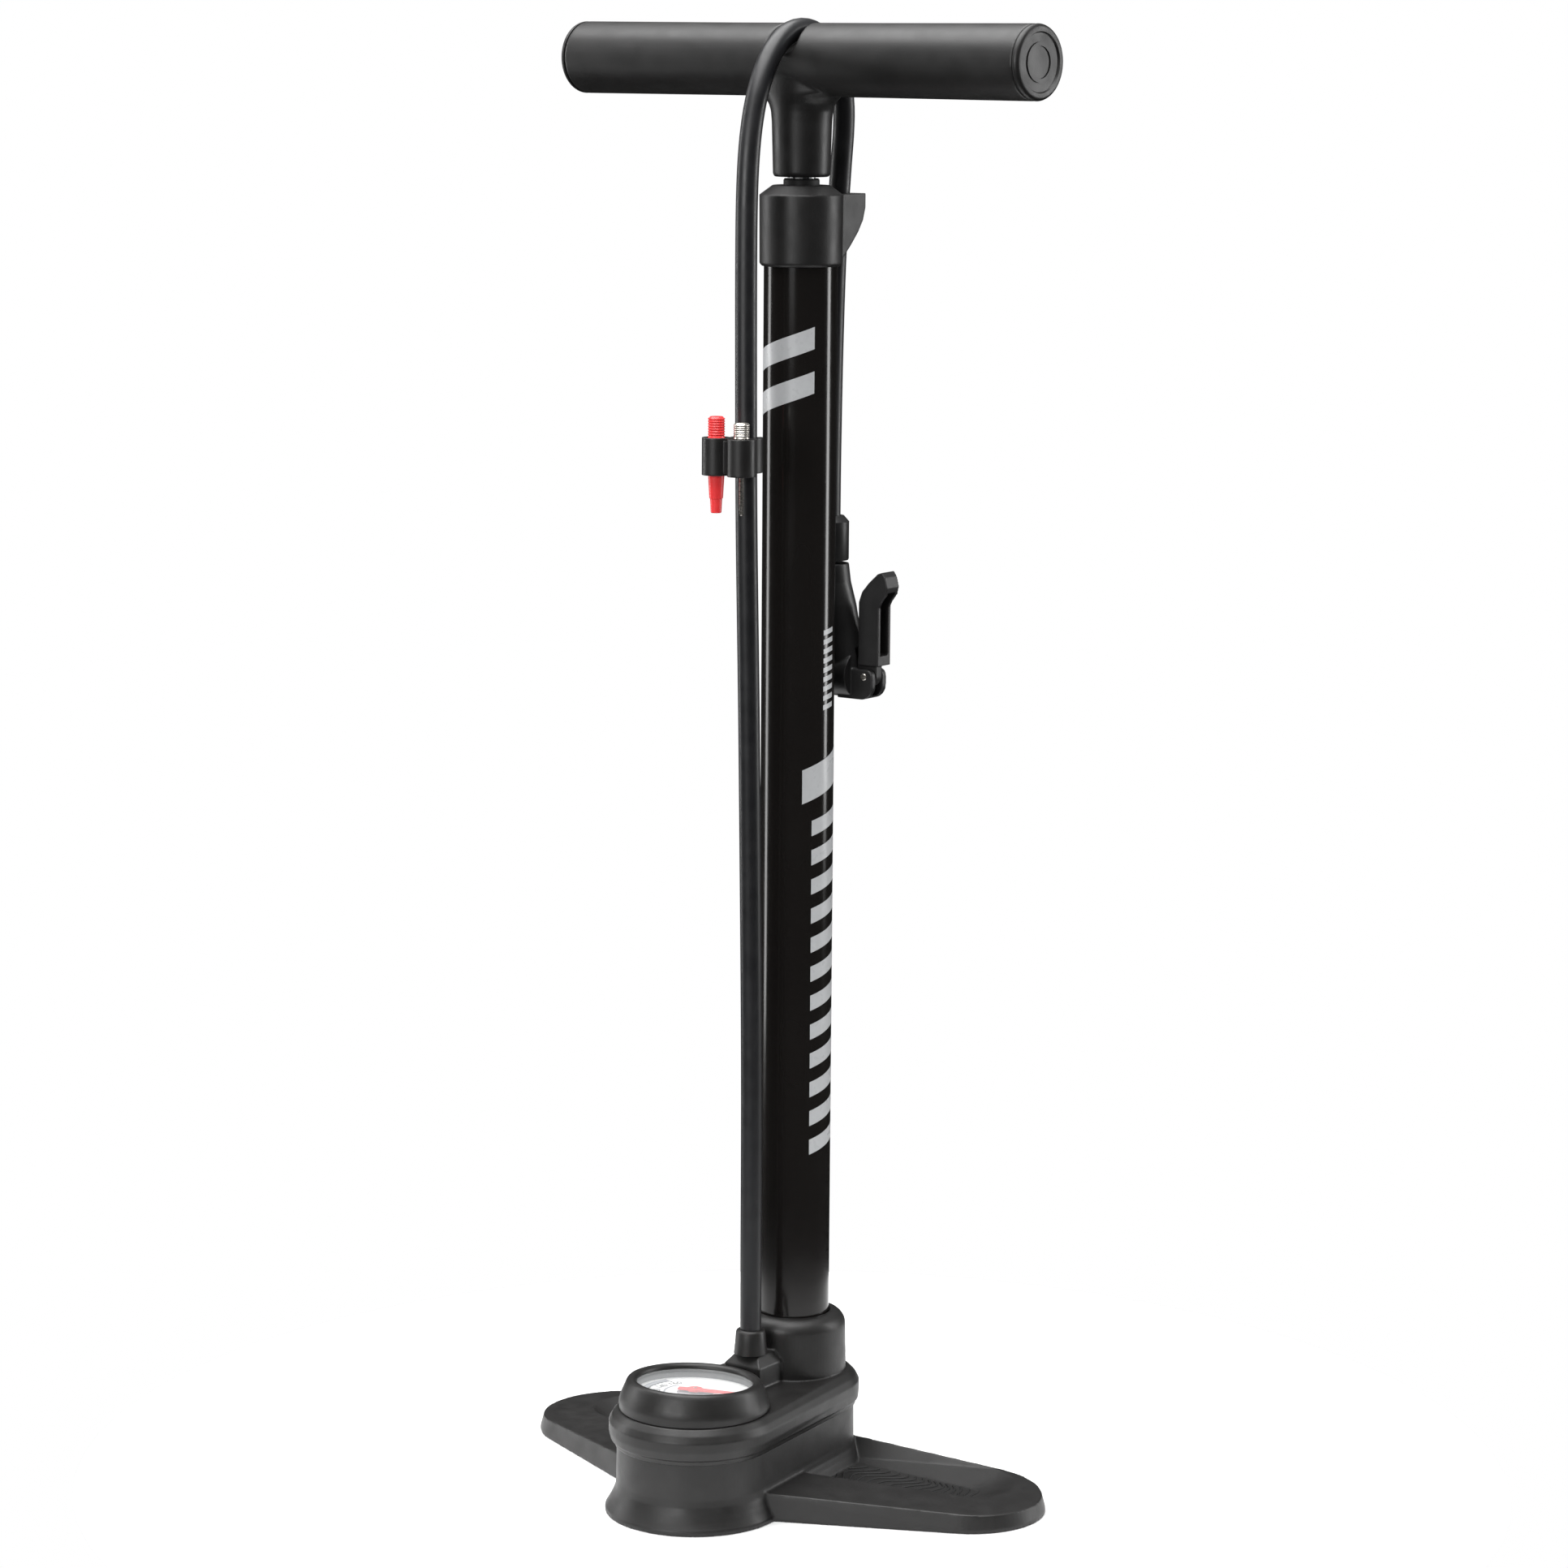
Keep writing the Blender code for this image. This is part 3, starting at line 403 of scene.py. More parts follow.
def baked(obj):
    """Puts the modifiers' result in the mesh."""
    bpy.context.view_layer.update()
    evaluated = obj.evaluated_get(bpy.context.evaluated_depsgraph_get())
    mesh = bpy.data.meshes.new_from_object(evaluated)
    obj.modifiers.clear()
    old = obj.data
    obj.data = mesh
    bpy.data.meshes.remove(old)
    return obj


def moulded(obj, voxel, rounds, look, keep=1.0):
    """One continuous skin with softly rounded edges, as a moulding has."""
    remesh = obj.modifiers.new("skin", "REMESH")
    remesh.mode = "VOXEL"
    remesh.voxel_size = voxel * MM
    remesh.adaptivity = 0.0
    soften = obj.modifiers.new("soften", "SMOOTH")
    soften.factor = 0.5
    soften.iterations = rounds
    if keep < 1.0:
        lighten = obj.modifiers.new("lighten", "DECIMATE")
        lighten.ratio = keep
    baked(obj)
    obj.data.materials.clear()
    obj.data.materials.append(look)
    obj.data.shade_smooth()
    return obj


def arc(centre, radius, start, end, count):
    """Points in the plane along an arc, from one angle to another in radians."""
    steps = [start + (end - start) * i / (count - 1) for i in range(count)]
    return [(centre[0] + radius * math.cos(a), centre[1] + radius * math.sin(a)) for a in steps]


def circle(radius, height, count=96, centre=(0, 0), tilt=0.0, wide=1.0):
    """A level ring of points, which may be tilted about X or stretched along X."""
    points = []
    for i in range(count):
        angle = 2 * math.pi * i / count
        x = radius * wide * math.cos(angle)
        y = radius * math.sin(angle)
        points.append((centre[0] + x, centre[1] + y * math.cos(tilt), height - y * math.sin(tilt)))
    return points


def smooth_route(route, spacing):
    """Points at an even spacing along a smooth curve through the route's points."""
    knots = [Vector(p) for p in route]
    knots = [2 * knots[0] - knots[1]] + knots + [2 * knots[-1] - knots[-2]]
    dense = []
    for a, b, c, d in zip(knots, knots[1:], knots[2:], knots[3:]):
        for i in range(24):
            t = i / 24
            point = 2 * b + (c - a) * t
            point += (2 * a - 5 * b + 4 * c - d) * t**2
            point += (3 * b - a - 3 * c + d) * t**3
            dense.append(0.5 * point)
    dense.append(knots[-2])
    lengths = [0.0]
    for p, q in zip(dense, dense[1:]):
        lengths.append(lengths[-1] + (q - p).length)
    count = max(2, round(lengths[-1] / spacing))
    points = []
    index = 0
    for i in range(count + 1):
        target = lengths[-1] * i / count
        while index < len(lengths) - 2 and lengths[index + 1] < target:
            index += 1
        share = (target - lengths[index]) / (lengths[index + 1] - lengths[index])
        points.append(dense[index].lerp(dense[index + 1], min(1.0, share)))
    return points


def tube(name, points, radius, look, sides=24):
    """A round tube along points, without twist, with flat ends."""
    loops = []
    side = Vector((1, 0, 0))
    for i, point in enumerate(points):
        ahead = (points[min(i + 1, len(points) - 1)] - points[max(i - 1, 0)]).normalized()
        side = (side - ahead * side.dot(ahead)).normalized()
        up = ahead.cross(side)
        ring = [2 * math.pi * k / sides for k in range(sides)]
        loops.append([point + (side * math.cos(a) + up * math.sin(a)) * radius for a in ring])
    return smooth(lofted(name, loops, look), 60)


def stands_for(obj, body, slot, *nodes):
    """Says what a piece rides on and which CAD nodes it replaces. The slot, a finish's name, is not used."""
    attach(obj, body)
    if nodes:
        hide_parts(*nodes)
    return obj


# ---------------------------------------------------------------- base


def base_outline(front_r, back_r):
    """The outline round the gauge's circle and the barrel's circle, with straight sides between them."""
    lean = math.asin((front_r - back_r) / abs(GAUGE_Y))
    front = arc((0, GAUGE_Y), front_r, math.pi - lean, 2 * math.pi + lean, 64)
    back = arc((0, 0), back_r, lean, math.pi - lean, 48)
    return front + back


def base_loops(levels):
    """The base's outline at each level, which is its height, front radius and back radius."""
    return [[(x, y, z) for x, y in base_outline(front, back)] for z, front, back in levels]


def peg_outline(inset):
    """One foot peg seen from above, from inside the base out to its round tip and back."""
    radius = PEG_TIP_R - inset
    start = PEG_FRONT_SLOPE - math.pi / 2
    end = PEG_BACK_SLOPE + math.pi / 2
    tip = arc(PEG_TIP, radius, start, end, 40)
    front_run = (tip[0][0] - 12) / math.cos(PEG_FRONT_SLOPE)
    back_run = (tip[-1][0] - 4) / math.cos(PEG_BACK_SLOPE)
    root_front = (12, tip[0][1] - front_run * math.sin(PEG_FRONT_SLOPE))
    root_back = (4, tip[-1][1] - back_run * math.sin(PEG_BACK_SLOPE))
    return [root_front] + tip + [root_back]


def peg_top(x):
    """The height of a peg's top, which falls away from the base."""
    return 11.6 - 0.05 * (abs(x) - 40)


def peg(side):
    """A foot peg, on the right for a side of 1 and on the left for -1."""
    outline = peg_outline(0)
    inner = peg_outline(1.6)
    loops = [[(x, y, 0) for x, y in outline], [(x, y, 1.4) for x, y in outline]]
    loops.append([(x, y, peg_top(x)) for x, y in inner])
    return lofted("peg", [[(side * x, y, z) for x, y, z in loop] for loop in loops])


def peg_dish(side):
    """What is cut from the peg: the dish's floor, its rim, and the rim carried clear of the peg."""
    floor = [(10, -36)] + arc((88, -1), 10, DISH_START, DISH_END, 24) + [(10, 10)]
    rim = [(10, -43)] + arc((91, 6), 20.5, DISH_START, DISH_END, 24) + [(10, 19.2)]
    low = [(x, y, PEG_FLOOR) for x, y in floor]
    edge = [(x, y, peg_top(x)) for x, y in rim]
    high = [(x, y, z + 8) for x, y, z in edge]
    return lofted("dish", [[(side * x, y, z) for x, y, z in loop] for loop in (low, edge, high)])


def make_base_body():
    """The lower moulding: a tub with a flared foot, and its two foot pegs."""
    levels = [
        (0.0, 38.9, 31.2),
        (2.0, 38.9, 31.2),
        (2.6, 38.4, 30.8),
        (5.0, 37.0, 29.8),
        (8.0, 35.5, 28.7),
        (11.0, 34.4, 27.9),
        (14.0, 34.0, 27.7),
        (BODY_HIGH, BODY_R, BODY_BACK_R),
    ]
    body = lofted("base_moulding", base_loops(levels))
    fuse(body, cut(peg(1), peg_dish(1)), cut(peg(-1), peg_dish(-1)))
    moulded(body, 0.55, 2, BASE_BLACK, 0.35)
    stands_for(body, "pump", "black_plastic", "base_body")


def peg_grooves():
    """Wavy contour lines across the floor of each dish, coloured near-black as painted shade for the grooves.
    """
    back = 7.5
    for side, name in ((1, "right"), (-1, "left")):
        for index in range(CONTOURS):
            front = -31.5 + 0.165 * index * CONTOUR_STEP
            points = []
            for step in range(25):
                share = step / 24
                long_wave = 4.6 * math.sin(2.1 * math.pi * share + 0.35 * index)
                short_wave = 1.2 * math.sin(5 * math.pi * share)
                x = 30 + CONTOUR_STEP * index + long_wave + short_wave + 5 * share
                y = front + (back - front) * share
                points.append(Vector((side * x, y, PEG_FLOOR - 0.05)))
            # Near-black lines: painted shade in the grooves.
            line = tube(f"contour_{name}_{index + 1}", points, CONTOUR_R, GROOVE_PAINTED_SHADE, 8)
            stands_for(line, "pump", "black_plastic")


def make_base_cover():
    """The upper moulding: a lid with the barrel's collar and the hose's port block."""
    outer = [
        (30.0, BODY_R + 0.9, BODY_BACK_R + 0.8),
        (32.4, 35.3, 28.9),
        (32.6, 36.4, 29.6),
        (36.2, COVER_R, COVER_BACK_R),
        (40.6, COVER_R, COVER_BACK_R),
        (43.4, 35.9, 28.4),
        (COVER_HIGH, 33.6, 25.7),
    ]
    cover = lofted("cover_moulding", base_loops(outer))
    middle = (COLLAR_R - COLLAR_SHOULDER, COLLAR_HIGH - COLLAR_SHOULDER)
    shoulder = arc(middle, COLLAR_SHOULDER, math.pi / 2, 0, 12)
    collar = [(0, COLLAR_HIGH)] + shoulder + [(COLLAR_R + 0.4, 44.0), (20.0, 40.0), (0, 40.0)]
    fuse(cover, turned("collar", collar))
    loops = []
    for z, inset in ((42.0, 0.0), (55.5, 0.0), (PORT_HIGH, 3.6)):
        x = 9.6 - inset
        front = -39.0 + inset
        loops.append([(x, front, z), (x, -17.0, z), (-x, -17.0, z), (-x, front, z)])
    fuse(cover, lofted("port_block", loops))
    inner = (BODY_R + GAP, BODY_BACK_R + GAP)
    cut(cover, lofted("cover_hollow", base_loops([(20.0, *inner), (BODY_HIGH + 4.5, *inner)])))
    cut(cover, rod("collar_bore", BARREL_R + 0.4, (0, 0, 0), (0, 0, 90)))
    moulded(cover, 0.45, 1, COVER_BLACK, 0.35)
    stands_for(cover, "pump", "black_plastic", "base_cover")


# ---------------------------------------------------------------- barrel, cap and rod


def make_barrel():
    """The enamelled steel tube."""
    outer = [(BARREL_R, BARREL_HIGH), (BARREL_R, BARREL_LOW)]
    inner = [(BARREL_BORE_R, BARREL_LOW), (BARREL_BORE_R, BARREL_HIGH)]
    barrel = turned("barrel_tube", outer + inner, ENAMEL, segments=160)
    stands_for(barrel, "pump", "barrel_paint", "barrel")


def decal(name, height, middle, width, tall, slant, steps=16):
    """A thin slanted bar printed on the barrel, with its two long sides running round it."""
    grid = bmesh.new()
    rows = []
    for i in range(steps + 1):
        across = i / steps - 0.5
        low = height + slant * across
        high = low + tall
        angle = middle + width * across / BARREL_R
        row = []
        for radius, z in ((DECAL_IN, low), (DECAL_OUT, low), (DECAL_OUT, high), (DECAL_IN, high)):
            corner = Vector((radius * math.cos(angle), radius * math.sin(angle), z))
            row.append(grid.verts.new(corner * MM))
        rows.append(row)
    for first, second in zip(rows, rows[1:]):
        for k in range(4):
            grid.faces.new((first[k], first[(k + 1) % 4], second[(k + 1) % 4], second[k]))
    grid.faces.new(rows[0])
    grid.faces.new(rows[-1])
    mark = smooth(add_object(name, mesh_from(name, grid), DECAL))
    stands_for(mark, "pump", "dial_white")


def make_decals():
    """Plain slanted bars: a long run and a short fine run on the right, and a tall pair in front."""
    for index in range(12):
        decal(f"bar_long_{index + 1}", 150 + 13.0 * index, 0.0, width=17.3, tall=6.8, slant=5.5)
    decal("bar_wide", 309, -0.1, width=23.0, tall=15.0, slant=9.0)
    for index in range(9):
        decal(f"bar_fine_{index + 1}", 346 + 4.1 * index, 0.02, width=6.7, tall=2.2, slant=1.2)
    for index, height in enumerate((478, 497)):
        decal(f"bar_tall_{index + 1}", height, math.radians(-88), width=31.0, tall=9.5, slant=11.0)


def make_barrel_cap():
    """The cap with its hose hook, and the rod's bush in it."""
    profile = [
        (BUSH_HOLE_R, CAP_ROOF),
        (BUSH_HOLE_R, CAP_HIGH),
        (12.4, CAP_HIGH),
        (CAP_R, CAP_EDGE),
        (CAP_R - 0.2, CAP_LOW + 1.2),
        (16.8, CAP_LOW),
        (CAP_BORE_R, CAP_LOW),
        (CAP_BORE_R, CAP_ROOF),
    ]
    cap = turned("cap_moulding", profile)
    outline = [
        (HOOK_WIDE, 14.5),
        (HOOK_WIDE, HOOK_REACH),
        (-2.0, HOOK_REACH),
        (-2.0, HOOK_LIP),
        (HOOK_INSIDE, HOOK_LIP),
        (HOOK_INSIDE, 17.2),
    ]
    hook = extruded("hook", outline, CAP_LOW + 3, CAP_EDGE)
    curve = [(18.0, 538.5), (21.5, 541.0), (27.0, 546.0), (32.0, 551.0), (35.6, 556.0), (37.6, 562.0)]
    below = [(45.0, 562.0), (45.0, 530.0), (18.0, 530.0)]
    cut(hook, lofted("hook_underside", [[(x, y, z) for y, z in curve + below] for x in (-20, 20)]))
    fuse(cap, hook)
    moulded(cap, 0.4, 3, BLACK)
    stands_for(cap, "pump", "black_plastic", "barrel_cap")
    bush = [(7.8, 573.9), (7.3, 574.6), (6.3, 574.6), (6.3, 562.0), (7.8, 562.0)]
    stands_for(turned("bush_collar", bush, SEAL_BLACK), "pump", "seal_rubber", "guide_bush")


def make_valve_spring():
    """The check valve's spring."""
    coil_r, low, rise, turns = 3.4, 26.95, 2.7, 3
    steps = 96
    points = []
    for i in range(steps + 1):
        angle = 2 * turns * math.pi * i / steps
        points.append(Vector((coil_r * math.cos(angle), coil_r * math.sin(angle), low + rise * i / steps)))
    spring = tube("check_spring", points, 0.3, STEEL, 12)
    stands_for(spring, "pump", "steel", "valve_spring")
    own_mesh(spring)


# ---------------------------------------------------------------- handle


def neck_loops():
    """The handle's neck, round below and wider along the grip above. Steps are (height, radius, width)."""
    steps = ((575.3, 11.6, 1.0), (576.4, 12.35, 1.0), (599.0, 13.0, 1.0), (603.5, 13.2, 1.03))
    steps += ((606.5, 13.4, 1.13), (609.0, 13.7, 1.33), (611.0, 13.9, 1.62), (620.0, 14.0, 1.8))
    return [circle(radius, z, 64, wide=wide) for z, radius, wide in steps]


def saddle_loops():
    """What the hose's saddle takes from the grip: a rounded groove swept along the hose's arch."""
    half = [(24.3, 1.8), (25.2, 4.3), (27.3, 5.7), (30.0, 6.3), (32.4, 7.0), (34.3, 8.7), (38.0, 13.0)]
    section = half + [(radius, -x) for radius, x in reversed(half)]
    loops = []
    for i in range(31):
        angle = math.radians(-60 + 4 * i)
        spread = 1 + 0.95 * abs(math.sin(angle))
        out, up = math.sin(angle), math.cos(angle)
        loops.append([(x * spread, r * out, CREST_Z - ARCH_R + r * up) for r, x in section])
    return loops


def turned_about_barrel(obj):
    """Turns a piece of the handle to the angle that it rests at."""
    obj.data.transform(Matrix.Rotation(HANDLE_TURN, 4, "Z"))
    return obj


def make_handle():
    """The grip with its neck and saddle, and the plug in each end."""
    end = HANDLE_HALF - PLUG_FLANGE
    profile = [
        (0, end),
        (HANDLE_R, end),
        (HANDLE_WAIST_R, HANDLE_WAIST_HALF),
        (HANDLE_WAIST_R, -HANDLE_WAIST_HALF),
        (HANDLE_R, -end),
        (0, -end),
    ]
    handle = turned("grip", profile, at=(0, 0, HANDLE_Z), along=(1, 0, 0))
    fuse(handle, lofted("neck", neck_loops()))
    cut(handle, lofted("saddle", saddle_loops()))
    cut(handle, rod("rod_socket", ROD_R + GAP, (0, 0, 560), (0, 0, 602.5)))
    moulded(handle, 0.6, 6, BLACK, 0.35)
    stands_for(turned_about_barrel(handle), "handle", "black_plastic", "handle")
    for name, side in (("left", -1), ("right", 1)):
        make_plug(name, side, end)


def make_plug(name, side, end):
    """An end plug with a rounded flange and a shallow dish, and a plain raised ring in the dish."""
    floor = PLUG_FLANGE - 0.7
    rim = arc((HANDLE_R - 2.0, PLUG_FLANGE - 2.0), 2.0, math.pi / 2, 0.1, 8)
    profile = [(0, floor), (12.1, floor), (12.6, PLUG_FLANGE), *rim, (HANDLE_R - 0.1, 0.25)]
    profile += [(PLUG_SPIGOT_R, 0.25), (PLUG_SPIGOT_R, -11.0), (0, -11.0)]
    place = (side * end, 0, HANDLE_Z)
    plug = turned(f"plug_{name}", profile, BLACK, place, along=(side, 0, 0))
    stands_for(turned_about_barrel(plug), "handle", "black_plastic", f"end_plug_{name}")
    low, high = floor - 0.05, floor + 0.45
    profile = [(8.3, high), (8.3, low), (6.7, low), (6.7, high)]
    ring = turned(f"plug_ring_{name}", profile, BLACK, place, 64, (side, 0, 0))
    stands_for(turned_about_barrel(ring), "handle", "black_plastic")


# ---------------------------------------------------------------- gauge


def gauge_ring(radius, height):
    """A loop of the gauge at a height over the cover. All but the foot leans towards the barrel."""
    lean = GAUGE_TILT if height > 1 else 0.0
    return circle(radius, COVER_HIGH + height, 128, (0, GAUGE_Y), lean)


def on_dial(obj):
    """Brings a shape from the dial's own plane, with its middle at the origin, to its place."""
    place = Matrix.Translation(Vector((0, GAUGE_Y, COVER_HIGH)) * MM)
    obj.data.transform(place @ Matrix.Rotation(-GAUGE_TILT, 4, "X"))
    return obj


def dial_arc(name, inner, outer, start, end, level, look):
    """A printed arc on the dial, between two radii."""
    count = max(3, round(abs(end - start) / math.radians(3)))
    outline = arc((0, 0), outer, start, end, count) + arc((0, 0), inner, end, start, count)
    print_mark = extruded(name, outline, level, level + INK, look)
    return stands_for(on_dial(print_mark), "pump", "dial_white")


def dial_number(number, radius, angle, level):
    """A figure on the dial, with its top outwards."""
    name = f"figure_{number}"
    curve = bpy.data.curves.new(name, "FONT")
    curve.body = str(number)
    curve.size = 4.6 * MM
    curve.align_x = "CENTER"
    curve.align_y = "CENTER"
    guide = bpy.data.objects.new(name + "_guide", curve)
    bpy.context.scene.collection.objects.link(guide)
    bpy.context.view_layer.update()
    mesh = bpy.data.meshes.new_from_object(guide.evaluated_get(bpy.context.evaluated_depsgraph_get()))
    bpy.data.objects.remove(guide, do_unlink=True)
    outwards = Matrix.Translation((0, radius * MM, level * MM))
    mesh.transform(Matrix.Rotation(angle - math.pi / 2, 4, "Z") @ outwards)
    mesh.materials.clear()
    return stands_for(on_dial(add_object(name, mesh, INK_DARK)), "pump", "dial_white")


def make_gauge():
    """The gauge's housing, window and dial."""
    steps = [(32.8, 0.3), (33.0, 1.5), (32.9, 3.0), (32.2, 5.2), (31.2, 7.6), (30.1, 10.2), (29.4, 11.6)]
    steps += [(28.7, 12.3), (27.8, 12.6), (26.9, 12.5), (26.0, 12.1), (25.4, 11.3), (25.3, 10.6)]
    steps += [(26.6, 10.4), (26.7, 4.4), (26.7, 0.3)]
    rings = [gauge_ring(radius, height) for radius, height in steps]
    housing = smooth(lofted("gauge_housing", rings, COVER_BLACK, ring=True), 50)
    stands_for(housing, "pump", "black_plastic", "gauge_bezel")
    steps = [(26.4, 8.9), (26.5, 9.3), (26.4, 10.0), (25.0, 10.3)]
    window = lofted("gauge_window", [gauge_ring(radius, height) for radius, height in steps], LENS)
    stands_for(smooth(window, 40), "pump", "lens", "gauge_lens")
    dial = lofted("gauge_face", [gauge_ring(DIAL_R, DIAL - 0.6), gauge_ring(DIAL_R, DIAL)], PAPER)
    stands_for(smooth(dial), "pump", "dial_white", "gauge_dial")
    make_scale()
    make_pointer()


def make_scale():
    """The printed arcs, the disc round the hub, the ticks and the figures."""
    end = DIAL_ZERO - DIAL_SWEEP
    level = DIAL + 0.04
    dial_arc("scale_outer", 20.6, 21.2, DIAL_ZERO, end, level, INK_DARK)
    dial_arc("scale_inner", 13.0, 13.9, DIAL_ZERO, end, level, INK_GREY)
    dial_arc("scale_band", 21.2, 24.0, DIAL_ZERO, end, level, INK_GREY)
    dial_arc("dial_boss", 0.8, 8.0, 0.0, 2 * math.pi, level, INK_GREY)
    ticks = FIGURES * TICKS_EACH
    for index in range(ticks + 1):
        angle = DIAL_ZERO - DIAL_SWEEP * index / ticks
        inner, half = (18.9, 0.013) if index % TICKS_EACH == 0 else (19.8, 0.007)
        dial_arc(f"tick_{index + 1}", inner, 20.6, angle - half, angle + half, DIAL + INK, INK_DARK)
    for index in range(FIGURES + 1):
        angle = DIAL_ZERO - DIAL_SWEEP * index / FIGURES
        dial_number(FIGURE_STEP * index, 16.6, angle, DIAL + 0.1)


def make_pointer():
    """The red pointer at the scale's zero, with its hub, and the bright staff that it turns on."""
    blade = [(-7.5, -1.6), (0, -2.4), (19.0, -0.9), (20.4, 0), (19.0, 0.9), (0, 2.4), (-7.5, 1.6)]
    pointer = extruded("red_pointer", blade, DIAL + 1.0, DIAL + 1.6, RED)
    fuse(pointer, rod("hub", 3.4, (0, 0, DIAL + 0.9), (0, 0, DIAL + 1.9), segments=48))
    pointer.data.transform(Matrix.Rotation(DIAL_ZERO, 4, "Z"))
    stands_for(smooth(on_dial(pointer), 30), "pointer", "red_plastic", "gauge_pointer")
    staff = rod("pointer_staff", 0.9, (0, 0, DIAL - 0.4), (0, 0, DIAL + 2.2), NICKEL, 32)
    stands_for(on_dial(staff), "pointer", "nickel")


# ---------------------------------------------------------------- hose, clip and adaptors


def make_hose(points):
    """The hose and the ferrule on its port."""
    profile = [(5.3, 71.2), (6.2, 70.6), (6.5, 69.9), (6.9, 65.0), (7.4, 60.3), (4.8, 60.3), (4.8, 71.2)]
    ferrule = turned("port_ferrule", profile, COVER_BLACK, (0, PORT_Y, 0))
    stands_for(ferrule, "pump", "black_plastic", "hose_ferrule")
    hose = tube("pump_hose", points, HOSE_R, HOSE, 28)
    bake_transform(hose)
    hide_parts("hose")
    return hose, ferrule


def make_clip():
    """The clip on the hose: an open ring and two sockets in one moulding."""
    centre = (0, CLIP_HOSE_Y)
    gap = math.radians(28)
    start, end = math.pi / 2 + gap, 2.5 * math.pi - gap
    outer = arc(centre, CLIP_R, start, end, 60)
    inner = arc(centre, HOSE_R + 0.15, end, start, 60)
    clip = extruded("clip_moulding", outer + inner, CLIP_LOW + 0.5, CLIP_HIGH - 0.5)
    for side in (1, -1):
        x = side * SOCKET_X
        fuse(clip, rod("socket", SOCKET_R, (x, SOCKET_Y, CLIP_LOW), (x, SOCKET_Y, CLIP_HIGH)))
    web = arc(centre, 6.1, 1.24 * math.pi, 1.76 * math.pi, 20) + [(4.4, -55.0), (-4.4, -55.0)]
    fuse(clip, extruded("clip_web", web, CLIP_LOW + 1.2, CLIP_HIGH - 1.2))
    cut(clip, rod("cone_bore", 4.0, (-SOCKET_X, SOCKET_Y, 440), (-SOCKET_X, SOCKET_Y, 480)))
    cut(clip, rod("needle_bore", 2.1, (SOCKET_X, SOCKET_Y, 440), (SOCKET_X, SOCKET_Y, 480)))
    moulded(clip, 0.25, 3, BLACK)
    return stands_for(clip, "pump", "black_plastic", "accessory_clip")


def threaded(radius, low, high, pitch, depth):
    """Points down a rounded thread between two heights. The radius is that of its crests."""
    points = []
    steps = round((high - low) / pitch * 6)
    for i in range(steps + 1):
        z = high - (high - low) * i / steps
        wave = 0.5 + 0.5 * math.cos(2 * math.pi * (z - low) / pitch)
        points.append((radius - depth * wave, z))
    return points


def make_adaptors():
    """The red cone and the ball needle in the clip's sockets."""
    top = [(0, 475.5), (1.3, 475.5), (2.7, 475.4), (3.1, 474.9)]
    thread = threaded(3.65, 467.3, 474.6, 1.1, 0.35)
    cone = top + thread + [(3.65, 466.8), (3.65, 452.2), (3.5, 450.4), (2.95, 441.0), (2.9, 440.6)]
    cone += [(2.6, 440.4), (2.3, 434.6), (2.0, 434.3), (0, 434.3)]
    red = turned("red_cone", cone, RED, (-SOCKET_X, SOCKET_Y, 0), 64)
    stands_for(red, "cone", "red_plastic", "cone_adaptor")
    top = [(0, 473.4), (1.2, 473.4), (2.7, 473.3), (3.0, 473.0)]
    thread = threaded(3.5, 467.4, 472.6, 0.9, 0.3)
    needle = top + thread + [(3.5, 466.8), (1.7, 466.7), (1.7, 455.0), (1.5, 453.2), (0.95, 452.0)]
    needle += [(0.95, 434.5), (0.6, 434.0), (0, 434.0)]
    steel = turned("nickel_needle", needle, NICKEL, (SOCKET_X, SOCKET_Y, 0), 48)
    stands_for(steel, "needle", "nickel", "ball_needle")
    return red, steel


# ---------------------------------------------------------------- pump head


def head_section(height, x, along, across):
    """An oval of the head at a height: its place on X, and its half widths on X and Y."""
    loop = circle(across, height, 64, wide=along / across)
    return [(HEAD_X + x + px, HEAD_Y + py, z) for px, py, z in loop]


def cheek_outline():
    """The cheeks that hold the lever's pin, with a rounded heel below."""
    corner = arc((PIVOT_X + 1.4, PIVOT_Z), 3.2, math.pi / 2, 0, 12)
    heel = arc((PIVOT_X - 1.6, PIVOT_Z - 4.0), 6.2, 0, -math.pi / 2, 16)
    return [(6.0, PIVOT_Z + 3.2)] + corner + heel + [(6.0, PIVOT_Z - 10.2)]


